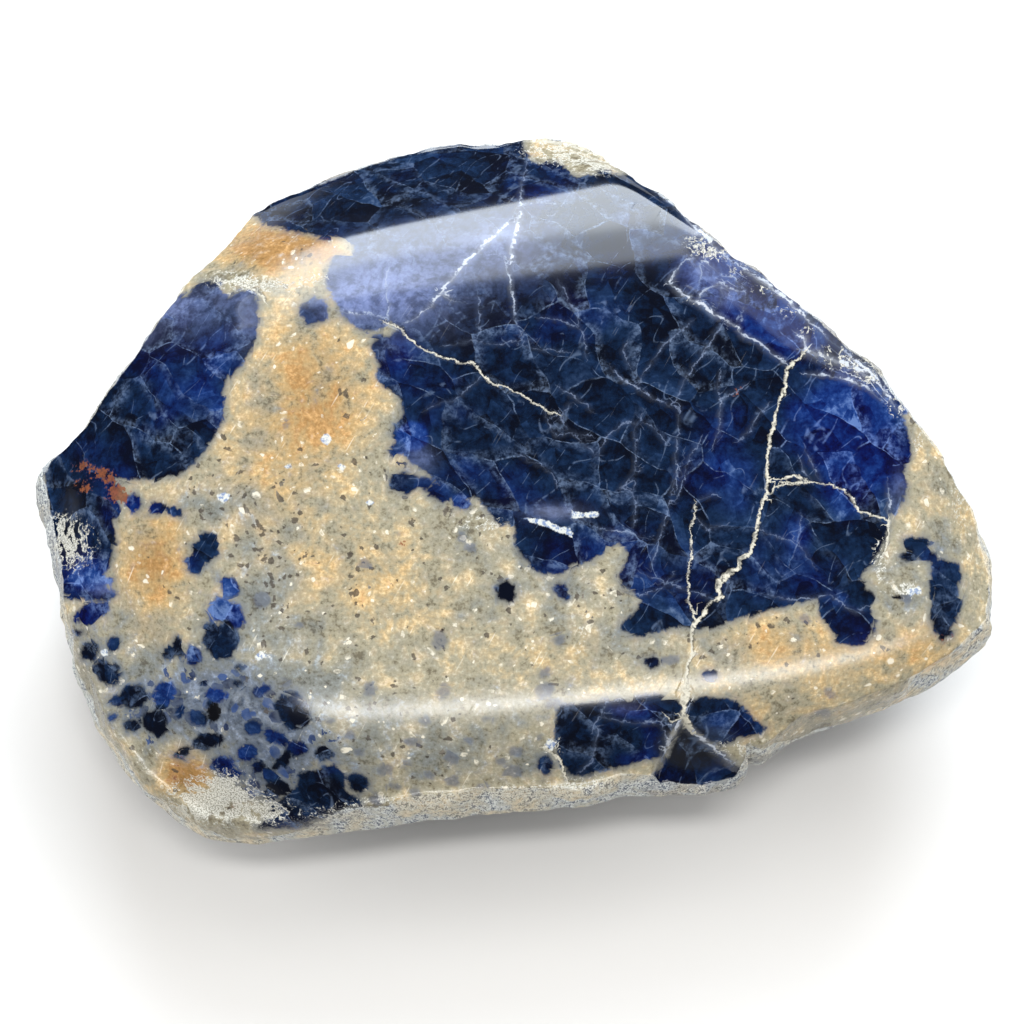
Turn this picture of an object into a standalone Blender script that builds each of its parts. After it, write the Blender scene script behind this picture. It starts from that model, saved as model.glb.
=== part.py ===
"""A palm-sized piece of sodalite: a polished face with worn bevels, a rough granular rim
and a broken underside with one small flat spot that it rests on.

The stone is one solid. Two square grids, one for the face and its rim and one for the
underside, are wrapped onto the outline and joined along the girdle, the widest line.
Run with: blender --background --python part.py
"""
import math
import random

import bmesh
import bpy
import numpy as np
from mathutils import Vector, noise

MM = 0.001

# Driving dimensions, in millimetres
FACE_HEIGHT = 16.7
FACE_TILT = (0.0, 0.02)
GIRDLE_HEIGHT = 9.0
GIRDLE_TILT = (0.046, -0.03)
UNDERSIDE_LUMP = 0.5
RIM_GRAIN = 0.16
RIM_GRAIN_SCALES = (0.8, 1.6)
RIM_ROUNDNESS = 0.7
LUMP_SCALES = (5.0, 2.4)
PLANE_SHIFT = 0.3
PLANE_RING_SHIFT = 0.04
PLANE_LEAN = 0.15
GIRDLE_BLEND = 0.07

# Mesh density: cells along one side of each grid, and the rings of them that form the rim
CELLS = 48
RIM_RINGS = 3

# The girdle seen from above, in millimetres, anticlockwise from the right-hand tip
OUTLINE = [
    (32.8, -8.2), (32.4, -6.5), (31.6, -4.5), (30.5, -2.6), (29.2, -0.4), (27.1, 2.6),
    (25.9, 4.7), (24.1, 6.1), (22.1, 8.3), (19.4, 10.9), (16.7, 13.1), (14.5, 15.0),
    (11.4, 18.7), (8.7, 21.0), (6.7, 23.3), (3.8, 24.6), (1.2, 25.0), (-0.8, 24.4),
    (-2.5, 24.3), (-3.6, 24.8), (-8.1, 23.8), (-12.4, 22.1), (-16.8, 20.0), (-18.6, 19.1),
    (-19.7, 16.4), (-21.6, 13.5), (-22.9, 11.9), (-26.0, 7.0), (-29.8, 1.1), (-32.2, -0.8),
    (-32.8, -1.8), (-32.3, -4.0), (-30.8, -10.8), (-29.4, -15.2), (-28.1, -18.7),
    (-26.5, -21.2), (-24.3, -23.8), (-22.1, -25.6), (-20.4, -26.6), (-17.0, -27.1),
    (-10.3, -26.2), (-3.2, -25.3), (4.5, -24.8), (7.5, -24.0), (12.9, -24.0),
    (15.3, -23.5), (16.0, -22.5), (15.7, -21.7), (17.0, -22.0), (19.0, -20.3),
    (25.2, -18.2), (28.3, -16.8), (30.4, -15.3), (32.4, -13.4), (33.0, -10.8),
]

# How far the rough rim stands out past the face, by compass direction in degrees
RIM_WIDTH = [
    (-180, 0.9), (-150, 1.1), (-115, 1.2), (-90, 0.8), (-70, 0.6), (-50, 0.3),
    (-30, 0.4), (-15, 1.2), (10, 1.2), (35, 0.9), (60, 0.8), (90, 0.5),
    (120, 0.4), (150, 0.4), (180, 0.9),
]

# Bevels worn round the face. Each falls away beyond its crease: the direction it faces,
# the crease as (along, out) points in that direction's own axes, its slope and how soft it is
BEVELS = {
    "front": (-90, [(-22, 22.4), (-12.5, 21.8), (6.0, 20.2), (29.0, 17.1), (33, 16.6)], 33, 1.0),
    "front left": (-140, [(-20, 23.0), (20, 23.0)], 14, 1.6),
    "left": (170, [(-30, 25.5), (30, 25.5)], 18, 2.0),
    "back left": (146, [(-30, 20.5), (30, 20.5)], 13, 1.6),
    "shoulder": (98, [(-30, 11.6), (30, 11.2)], 14, 1.8),
    "back": (103, [(-30, 17.4), (30, 17.4)], 13, 0.6),
    "back right": (48, [(-30, 20.2), (30, 20.2)], 30, 0.6),
    "right": (6, [(-30, 28.6), (30, 28.6)], 30, 0.8),
    "lower right": (-62, [(-30, 27.2), (30, 27.2)], 24, 1.0),
}

# Places where the face has broken away: outline, depth and the width of the broken edge
CHIPS = {
    "ledge": ([(11.3, 14.6), (10.0, 12.3), (12.2, 10.9), (14.8, 9.2), (16.8, 7.2),
               (19.0, 6.2), (20.0, 6.8), (22.3, 5.2), (25.0, 4.3), (27.6, 2.6),
               (29.0, 3.0), (28.0, 6.5), (20.0, 15.0), (14.0, 19.5)], 0.4, 1.0),
    "lower left hollow": ([(-29.5, -6.0), (-27.0, -8.5), (-25.0, -13.5), (-22.0, -15.5),
                           (-20.0, -17.5), (-20.2, -21.5), (-19.0, -24.0), (-22.0, -26.0),
                           (-26.0, -23.5), (-30.0, -16.0), (-32.0, -8.0)], 0.3, 1.4),
    "left edge": ([(-34.0, -1.5), (-30.5, -2.0), (-29.6, -4.6), (-30.2, -7.5),
                   (-33.0, -8.5)], 0.7, 1.0),
    "front chip": ([(11.6, -20.4), (13.6, -22.0), (15.6, -23.0), (14.0, -25.5),
                    (9.6, -25.5), (9.8, -23.2), (10.6, -21.6)], 1.2, 0.9),
    "back edge": ([(0.8, 27.5), (1.6, 24.8), (5.0, 24.3), (8.0, 23.0), (9.5, 24.5),
                   (5.0, 28.5)], 0.5, 1.0),
    "back left notch": ([(-24.8, 15.4), (-22.6, 13.2), (-21.4, 14.6), (-22.6, 16.8)],
                        0.6, 0.9),
}

# The underside is broken into planes, in rings from the ground up: how far out towards
# the girdle each ring lies, and how many planes it has
UNDERSIDE_RINGS = [(0.58, 7), (0.80, 10), (0.94, 15)]
UNDERSIDE_CURVE = 5.0
GIRDLE_WAVE = 0.5
GIRDLE_WAVE_SCALE = 7.0

# Seeds of the broken shapes
PLANE_SEED = 7
GIRDLE_SEED = 2.0
LUMP_SEEDS = (3.0, 8.0)
EDGE_SEED = 4.0
RIM_SEED = 5.0

# Half degrees on either side that the smoothed outline is averaged over
SMOOTHING = 25
SHARP_ANGLE = 25
STONE_COLOUR = (0.03, 0.06, 0.20, 1.0)
STONE_ROUGHNESS = 0.25


def outline_table():
    """The girdle's radius at every half degree, and the same with its small steps smoothed."""
    corners = np.array(OUTLINE)
    turn = np.unwrap(np.arctan2(corners[:, 1], corners[:, 0]))
    angles = np.radians(np.arange(-180.0, 180.0, 0.5))
    end = np.roll(corners, -1, axis=0)
    side = np.searchsorted(turn, (angles - turn[0]) % math.tau + turn[0], side="right") - 1
    a, b = corners[side], end[side]
    cross = a[:, 0] * b[:, 1] - a[:, 1] * b[:, 0]
    along = np.cos(angles) * (b - a)[:, 1] - np.sin(angles) * (b - a)[:, 0]
    radius = cross / along
    window = np.hanning(2 * SMOOTHING)
    wrapped = np.concatenate([radius[-SMOOTHING:], radius, radius[:SMOOTHING]])
    smooth = np.convolve(wrapped, window / window.sum(), mode="same")[SMOOTHING:-SMOOTHING]
    return angles, radius, smooth


def around(angle, table_angles, values):
    """A value read from a table that runs once round the stone."""
    return np.interp(angle, table_angles, values, period=math.tau)


def softened(distance, softness):
    """Zero before a crease and the distance past it, with a rounded turn between."""
    return softness * np.logaddexp(0.0, distance / softness)


def inside_distance(x, y, outline):
    """Distance to a closed outline, positive inside it."""
    points = np.array(outline)
    nearest = np.full(x.shape, 1e9)
    inside = np.zeros(x.shape, bool)
    for a, b in zip(points, np.roll(points, -1, axis=0)):
        step = b - a
        t = np.clip(((x - a[0]) * step[0] + (y - a[1]) * step[1]) / (step @ step), 0, 1)
        nearest = np.minimum(nearest, np.hypot(x - a[0] - t * step[0], y - a[1] - t * step[1]))
        crosses = (a[1] > y) != (b[1] > y)
        rise = step[1] if step[1] else 1e-9
        inside ^= crosses & (x < a[0] + (y - a[1]) * step[0] / rise)
    return np.where(inside, nearest, -nearest)


def smooth_step(value):
    t = np.clip(value, 0.0, 1.0)
    return t * t * (3.0 - 2.0 * t)


def rough(x, y, z, scale, seed):
    """Seeded noise between about -1 and 1, for points in millimetres."""
    return np.array([noise.noise(Vector((a, b, c)) / scale + Vector((seed, seed, seed)))
                     for a, b, c in zip(x, y, z)])


def face_height(x, y):
    """The polished face: one flat facet, its worn bevels and the places broken out of it."""
    height = FACE_HEIGHT + FACE_TILT[0] * x + FACE_TILT[1] * y
    for direction, crease, slope, softness in BEVELS.values():
        turn = math.radians(direction)
        out = x * math.cos(turn) + y * math.sin(turn)
        along = -x * math.sin(turn) + y * math.cos(turn)
        places, reaches = zip(*crease)
        past = out - np.interp(along, places, reaches)
        height = height - math.tan(math.radians(slope)) * softened(past, softness)
    for outline, depth, edge in CHIPS.values():
        height = height - depth * smooth_step(0.5 + inside_distance(x, y, outline) / edge)
    return height


def girdle_height(x, y):
    """The widest line climbs gently to the right and wavers a little."""
    wave = GIRDLE_WAVE * rough(x, y, np.zeros(x.shape), GIRDLE_WAVE_SCALE, GIRDLE_SEED)
    return GIRDLE_HEIGHT + GIRDLE_TILT[0] * x + GIRDLE_TILT[1] * y + wave


def broken_planes():
    """Places and slopes of the planes that the underside broke along, on a unit disc."""
    chance = random.Random(PLANE_SEED)
    planes = []
    for ring, count in UNDERSIDE_RINGS:
        for step in range(count):
            angle = math.tau * (step + chance.uniform(-PLANE_SHIFT, PLANE_SHIFT)) / count
            share = ring + chance.uniform(-PLANE_RING_SHIFT, PLANE_RING_SHIFT)
            out = np.array([math.cos(angle), math.sin(angle)])
            sideways = np.array([-out[1], out[0]]) * chance.uniform(-PLANE_LEAN, PLANE_LEAN)
            slope = UNDERSIDE_CURVE * share ** (UNDERSIDE_CURVE - 1)
            planes.append((out * share, share ** UNDERSIDE_CURVE, (out + sideways) * slope))
    return planes


def underside_height(x, y, angle, share):
    """The broken underside, from the ground to the girdle, where share is 1."""
    across, up = share * np.cos(angle), share * np.sin(angle)
    climb = np.full(x.shape, -1.0)
    for place, level, slope in broken_planes():
        climb = np.maximum(climb, level + (across - place[0]) * slope[0] + (up - place[1]) * slope[1])
    height = girdle_height(x, y) * climb
    coarse, fine = (rough(x, y, height, scale, seed)
                    for scale, seed in zip(LUMP_SCALES, LUMP_SEEDS))
    height = height + UNDERSIDE_LUMP * (coarse + 0.5 * fine)
    blend = smooth_step((share - 1.0 + GIRDLE_BLEND) / GIRDLE_BLEND)
    height = height + (girdle_height(x, y) - height) * blend
    return np.maximum(height, 0.0)


def disc_place(across, up):
    """A square grid's points as a direction and a share of the way out to the edge."""
    share = np.maximum(np.abs(across), np.abs(up))
    sideways = np.abs(across) >= np.abs(up)
    main = np.where(sideways, across, up)
    minor = np.where(sideways, up, across)
    main = np.where(main == 0.0, 1e-9, main)
    quarter = math.pi / 4 * minor / main
    angle = np.where(sideways, quarter, math.pi / 2 - quarter)
    angle = np.where(main < 0.0, angle + math.pi, angle)
    return angle, share


def plan_place(angle, share, tables):
    """Direction and share of the way out, as x and y; small steps fade out inwards."""
    table_angles, radius, smooth = tables
    grain = rough(9.0 * np.cos(angle), 9.0 * np.sin(angle), np.zeros(angle.shape),
                  RIM_GRAIN_SCALES[0], EDGE_SEED)
    sharp = around(angle, table_angles, radius) + RIM_GRAIN * grain
    soft = around(angle, table_angles, smooth)
    reach = share * (soft + (sharp - soft) * share ** 8)
    return reach * np.cos(angle), reach * np.sin(angle)


def shape_face(across, up, tables):
    """The face and the rough rim that drops from its edge to the girdle."""
    angle, share = disc_place(across, up)
    directions, widths = zip(*RIM_WIDTH)
    width = around(angle, np.radians(directions), widths)
    face_edge = 1.0 - width / around(angle, tables[0], tables[1])
    rim_start = 1.0 - 2.0 * RIM_RINGS / CELLS
    down = np.clip((share - rim_start) / (1.0 - rim_start), 0.0, 1.0)
    out = face_edge * np.minimum(share / rim_start, 1.0)
    out = out + (1.0 - face_edge) * np.sin(0.5 * math.pi * down) ** RIM_ROUNDNESS
    x, y = plan_place(angle, out, tables)
    edge_x, edge_y = plan_place(angle, np.minimum(out, face_edge), tables)
    top = face_height(edge_x, edge_y)
    z = top + (girdle_height(x, y) - top) * down ** 2
    grain = rough(x, y, z, RIM_GRAIN_SCALES[1], RIM_SEED) * RIM_GRAIN * np.sin(math.pi * down)
    return x + grain * np.cos(angle), y + grain * np.sin(angle), z


def shape_underside(across, up, tables):
    angle, share = disc_place(across, up)
    x, y = plan_place(angle, share, tables)
    return x, y, underside_height(x, y, angle, share)


def wrapped_grid(mesh, shape, tables, facing_down):
    """A square grid bent into one side of the stone."""
    made = bmesh.ops.create_grid(mesh, x_segments=CELLS, y_segments=CELLS, size=1.0)
    corners = made["verts"]
    across = np.array([v.co.x for v in corners])
    up = np.array([v.co.y for v in corners])
    centre = [*np.add(np.min(OUTLINE, axis=0), np.max(OUTLINE, axis=0)) / 2, 0.0]
    for vertex, place in zip(corners, np.stack(shape(across, up, tables), axis=1)):
        vertex.co = Vector(place - centre) * MM
    if facing_down:
        faces = [f for f in mesh.faces if all(v in set(corners) for v in f.verts)]
        bmesh.ops.reverse_faces(mesh, faces=faces)


def stone_material():
    material = bpy.data.materials.new("sodalite")
    material.use_nodes = True
    shader = material.node_tree.nodes["Principled BSDF"]
    shader.inputs["Base Color"].default_value = STONE_COLOUR
    shader.inputs["Roughness"].default_value = STONE_ROUGHNESS
    shader.inputs["Metallic"].default_value = 0.0
    return material


def build_stone(collection):
    tables = outline_table()
    mesh = bmesh.new()
    wrapped_grid(mesh, shape_underside, tables, facing_down=True)
    wrapped_grid(mesh, shape_face, tables, facing_down=False)
    bmesh.ops.remove_doubles(mesh, verts=mesh.verts, dist=0.001 * MM)
    bmesh.ops.triangulate(mesh, faces=mesh.faces)
    data = bpy.data.meshes.new("sodalite")
    mesh.to_mesh(data)
    mesh.free()
    data.materials.append(stone_material())
    data.shade_smooth()
    data.set_sharp_from_angle(angle=math.radians(SHARP_ANGLE))
    stone = bpy.data.objects.new("sodalite", data)
    collection.objects.link(stone)
    return stone


def main():
    for item in list(bpy.data.objects):
        bpy.data.objects.remove(item, do_unlink=True)
    collection = bpy.data.collections.new("sodalite_stone")
    bpy.context.scene.collection.children.link(collection)
    build_stone(collection)


main()
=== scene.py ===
"""The looks of a partly polished sodalite stone: blue crystal, tan and grey matrix, cream
cracks, a polished face, a granular rim and a broken underside."""
import math
import random

import bmesh
import bpy
import numpy as np
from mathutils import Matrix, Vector, noise


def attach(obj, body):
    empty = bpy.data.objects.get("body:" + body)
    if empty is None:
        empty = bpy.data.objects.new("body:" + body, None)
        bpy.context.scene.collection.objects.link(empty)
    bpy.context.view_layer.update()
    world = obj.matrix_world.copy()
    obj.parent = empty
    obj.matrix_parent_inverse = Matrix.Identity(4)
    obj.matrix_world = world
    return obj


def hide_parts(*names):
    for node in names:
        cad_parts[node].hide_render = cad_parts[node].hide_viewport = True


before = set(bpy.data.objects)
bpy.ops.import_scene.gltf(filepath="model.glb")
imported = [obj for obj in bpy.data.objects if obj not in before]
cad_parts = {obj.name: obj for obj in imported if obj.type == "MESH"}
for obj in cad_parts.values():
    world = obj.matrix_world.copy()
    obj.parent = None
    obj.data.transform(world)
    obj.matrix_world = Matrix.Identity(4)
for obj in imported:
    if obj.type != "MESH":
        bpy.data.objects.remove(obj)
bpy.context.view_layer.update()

MM = 0.001

# The stone's form, in millimetres: the solid's, with finer grain and small steps added
FACE_HEIGHT = 16.7
FACE_TILT = (0.0, 0.02)
GIRDLE_HEIGHT = 9.0
GIRDLE_TILT = (0.046, -0.03)
GIRDLE_WAVE = 0.5
GIRDLE_WAVE_SCALE = 7.0
GIRDLE_BLEND = 0.07
UNDERSIDE_LUMP = 0.5
UNDERSIDE_GRAIN = 0.16
LUMP_SCALES = (5.0, 2.4, 0.9)
UNDERSIDE_RINGS = [(0.58, 7), (0.80, 10), (0.94, 15)]
UNDERSIDE_CURVE = 5.0
PLANE_SHIFT = 0.3
PLANE_RING_SHIFT = 0.04
PLANE_LEAN = 0.15
EDGE_GRAIN_RING = 9.0
EDGE_GRAIN_SCALES = (0.8, 0.2)
RIM_GRAIN = 0.16
RIM_GRAIN_SCALES = (1.6, 0.5)
RIM_ROUNDNESS = 0.7
WALL_STEPS = 0.5
WALL_STEP_SCALE = 3.2
WALL_STEP_LIMIT = 0.6

# The girdle's small steps: half degrees smoothed to either side, and the power of the
# share of the way out by which they fade
SMOOTHING = 25
STEP_FADE = 8

# Seeds of the form, which in its larger parts is the solid's, and of the markings.
# BEND_SEED fixes the noise that bends them, which otherwise differs at each run
PLANE_SEED = 7
GIRDLE_SEED = 2.0
LUMP_SEEDS = (3.0, 8.0, 12.0)
EDGE_SEEDS = (4.0, 6.0)
RIM_SEEDS = (5.0, 9.0)
WALL_STEP_SEED = 11.0
CRYSTAL_SEED = 11
MOTTLE_SEEDS = (21.0, 22.0)
DRIFT_SEED = 31.0
BEND_SEED = 4

# Mesh density: the face's grid is twice as fine as the underside's
FACE_CELLS = 280
UNDER_CELLS = 140
RIM_RINGS = 14

# The girdle seen from above, anticlockwise from the right-hand tip
OUTLINE = [
    (32.8, -8.2), (32.4, -6.5), (31.6, -4.5), (30.5, -2.6), (29.2, -0.4), (27.1, 2.6),
    (25.9, 4.7), (24.1, 6.1), (22.1, 8.3), (19.4, 10.9), (16.7, 13.1), (14.5, 15.0),
    (11.4, 18.7), (8.7, 21.0), (6.7, 23.3), (3.8, 24.6), (1.2, 25.0), (-0.8, 24.4),
    (-2.5, 24.3), (-3.6, 24.8), (-8.1, 23.8), (-12.4, 22.1), (-16.8, 20.0), (-18.6, 19.1),
    (-19.7, 16.4), (-21.6, 13.5), (-22.9, 11.9), (-26.0, 7.0), (-29.8, 1.1), (-32.2, -0.8),
    (-32.8, -1.8), (-32.3, -4.0), (-30.8, -10.8), (-29.4, -15.2), (-28.1, -18.7),
    (-26.5, -21.2), (-24.3, -23.8), (-22.1, -25.6), (-20.4, -26.6), (-17.0, -27.1),
    (-10.3, -26.2), (-3.2, -25.3), (4.5, -24.8), (7.5, -24.0), (12.9, -24.0),
    (15.3, -23.5), (16.0, -22.5), (15.7, -21.7), (17.0, -22.0), (19.0, -20.3),
    (25.2, -18.2), (28.3, -16.8), (30.4, -15.3), (32.4, -13.4), (33.0, -10.8),
]
PLAN_CENTRE = np.add(np.min(OUTLINE, axis=0), np.max(OUTLINE, axis=0)) / 2

# How far the rough rim stands out past the face, by compass direction in degrees
RIM_WIDTH = [
    (-180, 0.9), (-150, 1.1), (-115, 1.2), (-90, 0.8), (-70, 0.6), (-50, 0.3),
    (-30, 0.4), (-15, 1.2), (10, 1.2), (35, 0.9), (60, 0.8), (90, 0.5),
    (120, 0.4), (150, 0.4), (180, 0.9),
]

# Bevels: direction faced, crease as (along, out) points, slope and softness
BEVELS = {
    "front": (-90, [(-22, 22.4), (-12.5, 21.8), (6.0, 20.2), (29.0, 17.1), (33, 16.6)], 33, 1.7),
    "front left": (-140, [(-20, 23.0), (20, 23.0)], 14, 1.6),
    "left": (170, [(-30, 25.5), (30, 25.5)], 18, 2.0),
    "back left": (146, [(-30, 20.5), (30, 20.5)], 13, 1.6),
    "shoulder": (98, [(-30, 11.6), (30, 11.2)], 14, 1.8),
    "back": (103, [(-30, 17.4), (30, 17.4)], 13, 0.6),
    "back right": (48, [(-30, 20.2), (30, 20.2)], 30, 0.2),
    "right": (6, [(-30, 28.6), (30, 28.6)], 30, 0.8),
    "lower right": (-62, [(-30, 27.2), (30, 27.2)], 24, 1.0),
}

# Places where the face has broken away: outline, depth and the width of the broken edge
CHIPS = {
    "ledge": ([(12.2, 10.9), (14.8, 9.2), (16.8, 7.2), (19.0, 6.2), (20.0, 6.8), (22.3, 5.2),
               (25.0, 4.3), (27.6, 2.6), (29.0, 3.0), (28.0, 6.5), (20.0, 15.0), (16.0, 18.5)],
              0.04, 0.6),
    "lower left hollow": ([(-29.5, -6.0), (-27.0, -8.5), (-25.0, -13.5), (-22.0, -15.5),
                           (-20.0, -17.5), (-20.2, -21.5), (-19.0, -24.0), (-22.0, -26.0),
                           (-26.0, -23.5), (-30.0, -16.0), (-32.0, -8.0)], 0.15, 1.4),
    "left edge": ([(-34.0, -1.5), (-30.5, -2.0), (-29.6, -4.6), (-30.2, -7.5),
                   (-33.0, -8.5)], 0.12, 0.8),
    "front chip": ([(11.6, -20.4), (13.6, -22.0), (15.6, -23.0), (14.0, -25.5),
                    (9.6, -25.5), (9.8, -23.2), (10.6, -21.6)], 1.2, 0.5),
    "back edge": ([(0.8, 27.5), (1.6, 24.8), (5.0, 24.3), (8.0, 23.0), (9.5, 24.5),
                   (5.0, 28.5)], 0.5, 0.6),
    "back left notch": ([(-24.8, 15.4), (-22.6, 13.2), (-21.4, 14.6), (-22.6, 16.8)],
                        0.15, 0.3),
}

# How much the markings spread out for each millimetre down from the face to the girdle
WALL_SPREAD = 0.03

# Below the girdle patches take over from the drawn markings: how soon, as a share of the
# stone's breadth, their sizes in mm, and the depth that the drawn patches sink by
TAKE_OVER = 0.06
MOTTLE_SCALES = (11.0, 4.0)
DRIFT_SCALE = 14.0
BURIED = 30.0

# Noise that bends the markings: how far in mm, and its scale to the millimetre; then the
# scale of two cloudy fields and their roughness, step and number of octaves
BENDS = ((0.8, 0.33), (0.13, 1.3))
CLOUD_SCALE = 0.5
CLOUD_DRIFT_SCALE = 0.22
CLOUD_DRIFT_SHIFT = (9.0, 5.0, 2.0)
CLOUD_OCTAVES = (0.8, 2.1, 3)

# A drawn crystal's corners: how many, how far each may shift, and how far out each is
CRYSTAL_CORNERS = (6, 7, 8)
CRYSTAL_SHIFT = 0.22
CRYSTAL_REACH = (0.95, 1.18)

# The camera, at the photograph's angle, and the photograph's frame in pixels
CAMERA_ELEVATION = 68.0
CAMERA_DISTANCE = 220.0
CAMERA_TARGET = np.array([0.10, -1.92, 9.0])
FRAME_PIXELS = 1024
MM_PER_PIXEL = 0.07
FOCAL_PIXELS = CAMERA_DISTANCE / MM_PER_PIXEL
SENSOR_MM = 36.0
LIGHT_DISTANCE = 2.5

# How far from a patch or a line its distance is worked out, in pixels
PATCH_REACH = 24.0
LINE_REACH = 14.0

# Markings, drawn over the photograph's frame, in pixels
BLUE_PATCHES = {
    "left bridge": [(44, 462), (60, 446), (84, 452), (108, 470), (120, 486), (112, 500), (70, 504),
        (46, 496)],
    "right cluster": [(822, 580), (848, 574), (866, 584), (864, 600), (874, 612), (872, 632),
        (856, 642), (838, 640), (826, 622), (818, 604)],
    "left": [(160, 300), (186, 296), (200, 281), (222, 280), (221, 290), (229, 297), (240, 290),
        (256, 292), (260, 305), (257, 322), (256, 340), (249, 352), (240, 364), (230, 375),
        (224, 390), (222, 410), (222, 422), (215, 438), (206, 448), (197, 457), (188, 467),
        (176, 475), (160, 478), (140, 480), (120, 481), (108, 478), (100, 472), (90, 463),
        (74, 455), (40, 470), (40, 400), (110, 320)],
    "left rim": [(30, 480), (52, 488), (62, 476), (78, 474), (92, 478), (104, 490), (118, 502),
        (121, 514), (112, 520), (114, 535), (116, 552), (112, 566), (106, 574), (108, 586),
        (118, 594), (112, 600), (92, 600), (70, 597), (50, 592), (30, 560)],
    "main": [(256, 214), (262, 224), (280, 228), (300, 230), (316, 236), (332, 238), (346, 240),
        (356, 248), (350, 256), (338, 253), (333, 262), (328, 272), (326, 281), (331, 291),
        (336, 302), (339, 311), (347, 319), (357, 325), (366, 330), (378, 327), (388, 323),
        (397, 328), (390, 335), (374, 338), (370, 345), (376, 356), (379, 366), (377, 377),
        (384, 386), (393, 393), (399, 402), (402, 413), (397, 424), (395, 437), (398, 451),
        (404, 459), (413, 466), (424, 470), (432, 478), (441, 488), (455, 498), (466, 500),
        (478, 500), (484, 509), (493, 517), (501, 525), (509, 521), (514, 532), (514, 545),
        (520, 556), (531, 566), (545, 572), (558, 576), (566, 572), (575, 566), (590, 560),
        (605, 550), (618, 540), (624, 546), (626, 556), (623, 566), (617, 576), (622, 588),
        (635, 592), (640, 600), (632, 612), (622, 622), (621, 630), (631, 635), (646, 636),
        (660, 633), (675, 627), (687, 629), (700, 632), (715, 627), (735, 620), (760, 612),
        (785, 606), (804, 601), (818, 601), (825, 611), (832, 621), (841, 633), (853, 644),
        (865, 641), (873, 630), (868, 618), (869, 606), (862, 593), (858, 581), (862, 571),
        (872, 561), (883, 546), (889, 531), (891, 516), (898, 509), (905, 500), (906, 486),
        (905, 475), (908, 460), (910, 445), (907, 430), (900, 414), (930, 400), (860, 300),
        (740, 200), (650, 172), (624, 172), (612, 173), (601, 171), (590, 174), (578, 176),
        (568, 172), (558, 166), (543, 163), (528, 158), (521, 147), (520, 120), (480, 90),
        (300, 150)],
    "right": [(931, 562), (944, 559), (958, 563), (962, 575), (960, 590), (959, 606), (956, 621),
        (950, 636), (942, 638), (932, 630), (928, 615), (931, 600), (932, 585)],
    "front left of crack": [(562, 706), (580, 703), (605, 700), (640, 697), (660, 697), (676, 700),
        (680, 708), (677, 722), (669, 735), (666, 750), (660, 757), (648, 760), (630, 765),
        (612, 770), (596, 774), (580, 777), (567, 777), (561, 762), (555, 746), (555, 728),
        (558, 715)],
    "front right of crack": [(688, 702), (703, 697), (722, 697), (736, 703), (750, 714),
        (766, 728), (761, 733), (740, 738), (722, 743), (710, 744), (702, 737), (694, 727),
        (687, 714)],
    "shard": [(640, 795), (655, 776), (664, 766), (668, 750), (674, 738), (683, 729), (691, 730),
        (704, 740), (719, 751), (734, 763), (743, 769), (748, 778), (741, 786), (720, 796),
        (660, 800)],
    "overhang": [(746, 759), (765, 754), (784, 749), (788, 756), (770, 767), (755, 774), (746, 768)],
    "front left corner": [(258, 828), (268, 806), (284, 793), (297, 789), (300, 775), (317, 769),
        (334, 764), (343, 775), (346, 789), (358, 798), (366, 812), (346, 819), (312, 824),
        (285, 827)],
}

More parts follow.
